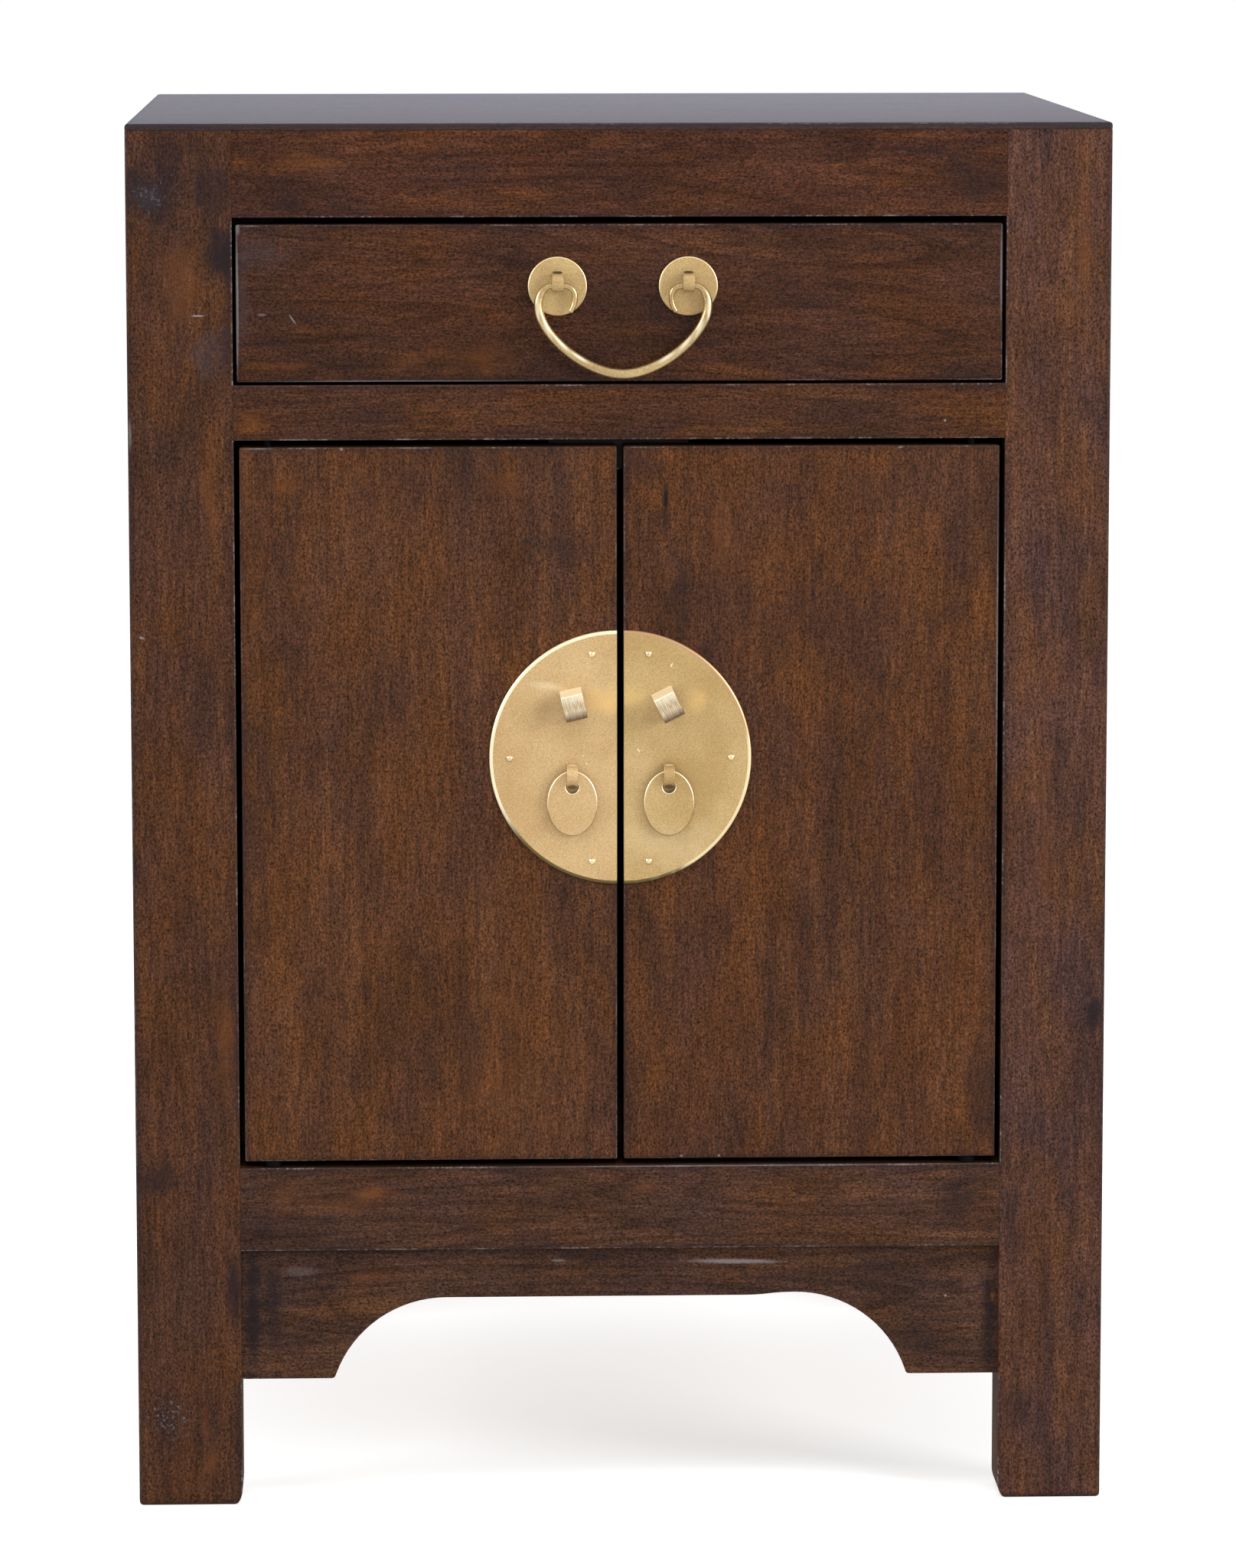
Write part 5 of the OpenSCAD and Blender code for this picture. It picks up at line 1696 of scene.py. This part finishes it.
    def plain(self) -> dict[str, PlainWood]:
        """Return the finishes of the boards inside and behind, which have no stain.

        Returns:
            A finish for each node.
        """
        lengthwise = (
            "drawer_runner_left", "drawer_runner_right", "drawer_kickers", "drawer_stops",
            "floor_cleats", "divider_cleats", "drawer_side_left", "drawer_side_right",
        )
        crosswise = "floor_board", "divider_board", "drawer_back", "drawer_bottom"
        boards = {
            node: PlainWood(Axis.Y, 30 + i, oversprayed=not node.startswith("drawer_side"))
            for i, node in enumerate(lengthwise)
        }
        boards |= {
            node: PlainWood(Axis.X, 50 + i, oversprayed=node.endswith("board"))
            for i, node in enumerate(crosswise)
        }
        boards["back_panel"] = PlainWood(Axis.Z, 60, pale="#84603a", late="#6d4b2a", growth=40)
        return boards

    def ease(self, stained: dict[str, StainedWood]) -> None:
        """Make the outer boards again with rounded arrises, but where they are joined.

        Args:
            stained: The stained boards' finishes.
        """
        boards = {"top_board": (self.top_arris, Face.BOTTOM)}
        boards |= {node: (self.arris, Face(0)) for node in ("door_left", "door_right", "drawer_front")}
        for side, inner in zip(Side, (Face.RIGHT, Face.LEFT)):
            boards |= {f"{end}_leg_{side.word}": (self.arris, inner | Face.TOP) for end in ("front", "rear")}
        for node, (ease, sharp) in boards.items():
            piece, body = eased_board(node, ease, sharp), frame["nodes"][node]["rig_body"]
            stand_for(piece, node, body, "stained_wood", stained[node].material(node))

    def build(self) -> None:
        """Dress every board, and the steel and nylon that hold them."""
        stained = self.stained()
        for node, finish in {**stained, **self.plain()}.items():
            dress(node, finish.material(node))
        self.ease(stained)
        steel = ZincSteel().material()
        blued = ZincSteel("Blued steel", "#1c1a19", "#100f0e", cloud=2.0, roughness=0.6).material()
        for node in ("back_panel_screws", "catch_screws"):
            dress(node, steel)
        for side in Side:
            dress(f"strike_{side.word}", steel)
            dress(f"strike_screw_{side.word}", steel)
            dress(f"door_pivots_{side.word}", blued)
        magnet = ZincSteel("Sintered magnet", "#6d6c6b", "#4c4b4a", cloud=0.8, roughness=0.5).material()
        dress("catch_magnets", magnet)
        dress("catch_housing", MouldedNylon().material())


@dataclass
class Studio:
    """The floor, the lamps, the world and the camera."""

    camera_place: tuple[float, float, float] = (-96.13, -2935.76, 702.77)
    pitch: float = 0.1393
    yaw: float = -0.0342
    roll: float = -0.0055
    focal_px: float = 8443.87
    image_h_px: float = 2048.0
    sensor: float = 36.0
    ambient: float = 0.6
    floor_half: float = 6000.0
    floor_colour: str = "#dcdcdc"
    floor_glow: float = 0.62
    middle_z: float = 300.0

    def floor(self) -> None:
        """Lay a pale floor that shows white to the camera, less the object's shadow."""
        half = self.floor_half * MM
        corners = [(-half, -half, 0), (half, -half, 0), (half, half, 0), (-half, half, 0)]
        mesh = bpy.data.meshes.new("Floor")
        mesh.from_pydata(corners, [], [(0, 1, 2, 3)])
        material, tree = blank("White paper floor")
        paper = add(tree, "BsdfDiffuse", {"Color": linear(self.floor_colour)})
        glow = add(tree, "Emission", {"Color": (1, 1, 1, 1), "Strength": self.floor_glow})
        lit = add(tree, "AddShader", {0: paper, 1: glow})
        seen = add(tree, "LightPath", output="Is Camera Ray")
        add(tree, "OutputMaterial", {"Surface": add(tree, "MixShader", {0: seen, 1: paper, 2: lit})})
        mesh.materials.append(material)
        placed("Floor", mesh)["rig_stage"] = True

    def world(self) -> None:
        """Surround the scene with soft light that shows white to the camera and in gloss."""
        world = bpy.data.worlds.new("White studio")
        world.use_nodes = True
        bpy.context.scene.world = world
        tree = world.node_tree
        tree.nodes.clear()
        seen = add(tree, "LightPath", output="Is Camera Ray")
        rays = seen.node.outputs
        for name in ("Is Glossy Ray", "Is Transmission Ray"):
            seen = add(tree, "Math", {0: seen, 1: rays[name]}, operation="MAXIMUM")
        strength = add(tree, "MapRange", {"Value": seen, "To Min": self.ambient, "To Max": 1.0})
        background = add(tree, "Background", {"Color": (1, 1, 1, 1), "Strength": strength})
        add(tree, "OutputWorld", {"Surface": background})

    def lamp(
        self, name: str, place: tuple[float, float, float], size: float, watts: float, glossy: bool = True
    ) -> None:
        """Hang a square soft lamp at a place in mm, turned to the object's middle.

        A lamp that isn't glossy lights the object and shows in no reflection.

        Args:
            name: The lamp's name.
            place: Where it hangs.
            size: Its side in mm.
            watts: Its power.
            glossy: Whether it shows in reflections.
        """
        light = bpy.data.lights.new(name, "AREA")
        light.size = size * MM
        light.energy = watts
        lamp = placed(name, light)
        lamp.visible_glossy = glossy
        lamp.location = Vector(place) * MM
        aim = Vector((0, 0, self.middle_z)) - Vector(place)
        lamp.rotation_euler = aim.to_track_quat("-Z", "Y").to_euler()

    def camera(self) -> None:
        """Set the camera that a fit of the photograph's corners gave.

        The camera looks along +Y and is then pitched about its X, yawed about its Y and rolled
        about its viewing axis. Image X runs right and image Y down.
        """
        turns = (self.pitch, "X"), (self.yaw, "Y"), (self.roll, "Z")
        pitch, yaw, roll = (Matrix.Rotation(angle, 3, axis) for angle, axis in turns)
        right, down, ahead = roll @ yaw @ pitch @ Matrix(((1, 0, 0), (0, 0, -1), (0, 1, 0)))
        lens = bpy.data.cameras.new("Camera")
        lens.sensor_fit = "VERTICAL"
        lens.sensor_height = self.sensor
        lens.lens = self.focal_px * self.sensor / self.image_h_px
        lens.clip_end = 100
        camera = placed("Camera", lens)
        turned = Matrix((right, -down, -ahead)).transposed()
        camera.matrix_world = Matrix.LocRotScale(Vector(self.camera_place) * MM, turned, None)
        bpy.context.scene.camera = camera

    def build(self) -> None:
        """Set up the whole studio."""
        self.floor()
        self.world()
        self.lamp("Right softbox", (2300, -1800, 1250), 1100, 50)
        self.lamp("Left softbox", (-2500, -1000, 1450), 1100, 34)
        self.lamp("Top softbox", (100, -1100, 2700), 1500, 34, glossy=False)
        self.camera()
        bpy.context.scene.view_settings.view_transform = "Standard"


def door_brass() -> tuple[DoorBrass, DoorBrass]:
    """Return the brass of both doors, each with its own tone and the marks that the photograph shows.

    Returns:
        The left door's brass and the right one's.
    """
    nick_and_glint, staple_reflection, pale_highlight, staple_shadow, slot = Mark.NICK, Mark.POLISH, Mark.GLEAM, Mark.TARNISH, Mark.SLOT
    # Painted light among the plates' marks: highlight along each pull strap's slot, shadow in each pull's
    # hole, shadow and reflection beside each staple, a paler lower right plate
    left = DoorBrass(Side.LEFT, staple_turn=13, colour="#cfb080", shade="#bf9d6c", marks=(
        Spot(nick_and_glint, -16.1, 329.3, 0.35, 0.3, 0.8), Spot(nick_and_glint, -14.6, 325.9, 0.3, 0.45, 0.8),
        Spot(staple_shadow, -31, 349, 9, 7, 0.35, -20), Spot(pale_highlight, -31, 359.5, 10, 2.6, 0.4, 8),
        Spot(staple_reflection, -9.5, 353, 10.5, 8, 0.45), Spot(staple_reflection, -3, 352.5, 7, 8.5, 0.35),
        Spot(nick_and_glint, -20.8, 325.7, 2.5, 0.35, 0.6), Spot(slot, -20.8, 316.2, 2.3, 1.7, 0.6),
    ))
    right = DoorBrass(Side.RIGHT, staple_turn=27, colour="#c5a875", shade="#b49560", marks=(
        Spot(nick_and_glint, 22.0, 368.4, 0.3, 1.2, 0.8, 25), Spot(nick_and_glint, 7.8, 331.6, 0.3, 1.1, 0.7, -25),
        Spot(staple_shadow, 13, 347, 6, 7, 0.3, -10), Spot(staple_reflection, 32.5, 353, 7.5, 6.5, 0.35, -15),
        Spot(staple_reflection, 5, 354, 9, 6.5, 0.3), Spot(nick_and_glint, 20.8, 325.7, 2.5, 0.35, 0.6),
        Spot(slot, 20.8, 316.2, 2.3, 1.7, 0.6), Spot(pale_highlight, 21, 291, 24, 13, 0.2),
    ), tarnished=(0.02, 0.1), rim=PolishedRim("#f2dcae", upper="#c39a72", upper_z=332))
    return left, right


def main() -> None:
    """Build the nightstand round its frame."""
    logging.basicConfig(level=logging.INFO, format="%(name)s: %(message)s")
    for part in (Studio(), Case(), DrawerPull(), *door_brass()):
        part.build()
    sizes = {"cad": cad_box, "visual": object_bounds()}
    {name: [list(map(float, corner)) for corner in box] for name, box in sizes.items()}


if __name__ == "__main__":
    main()
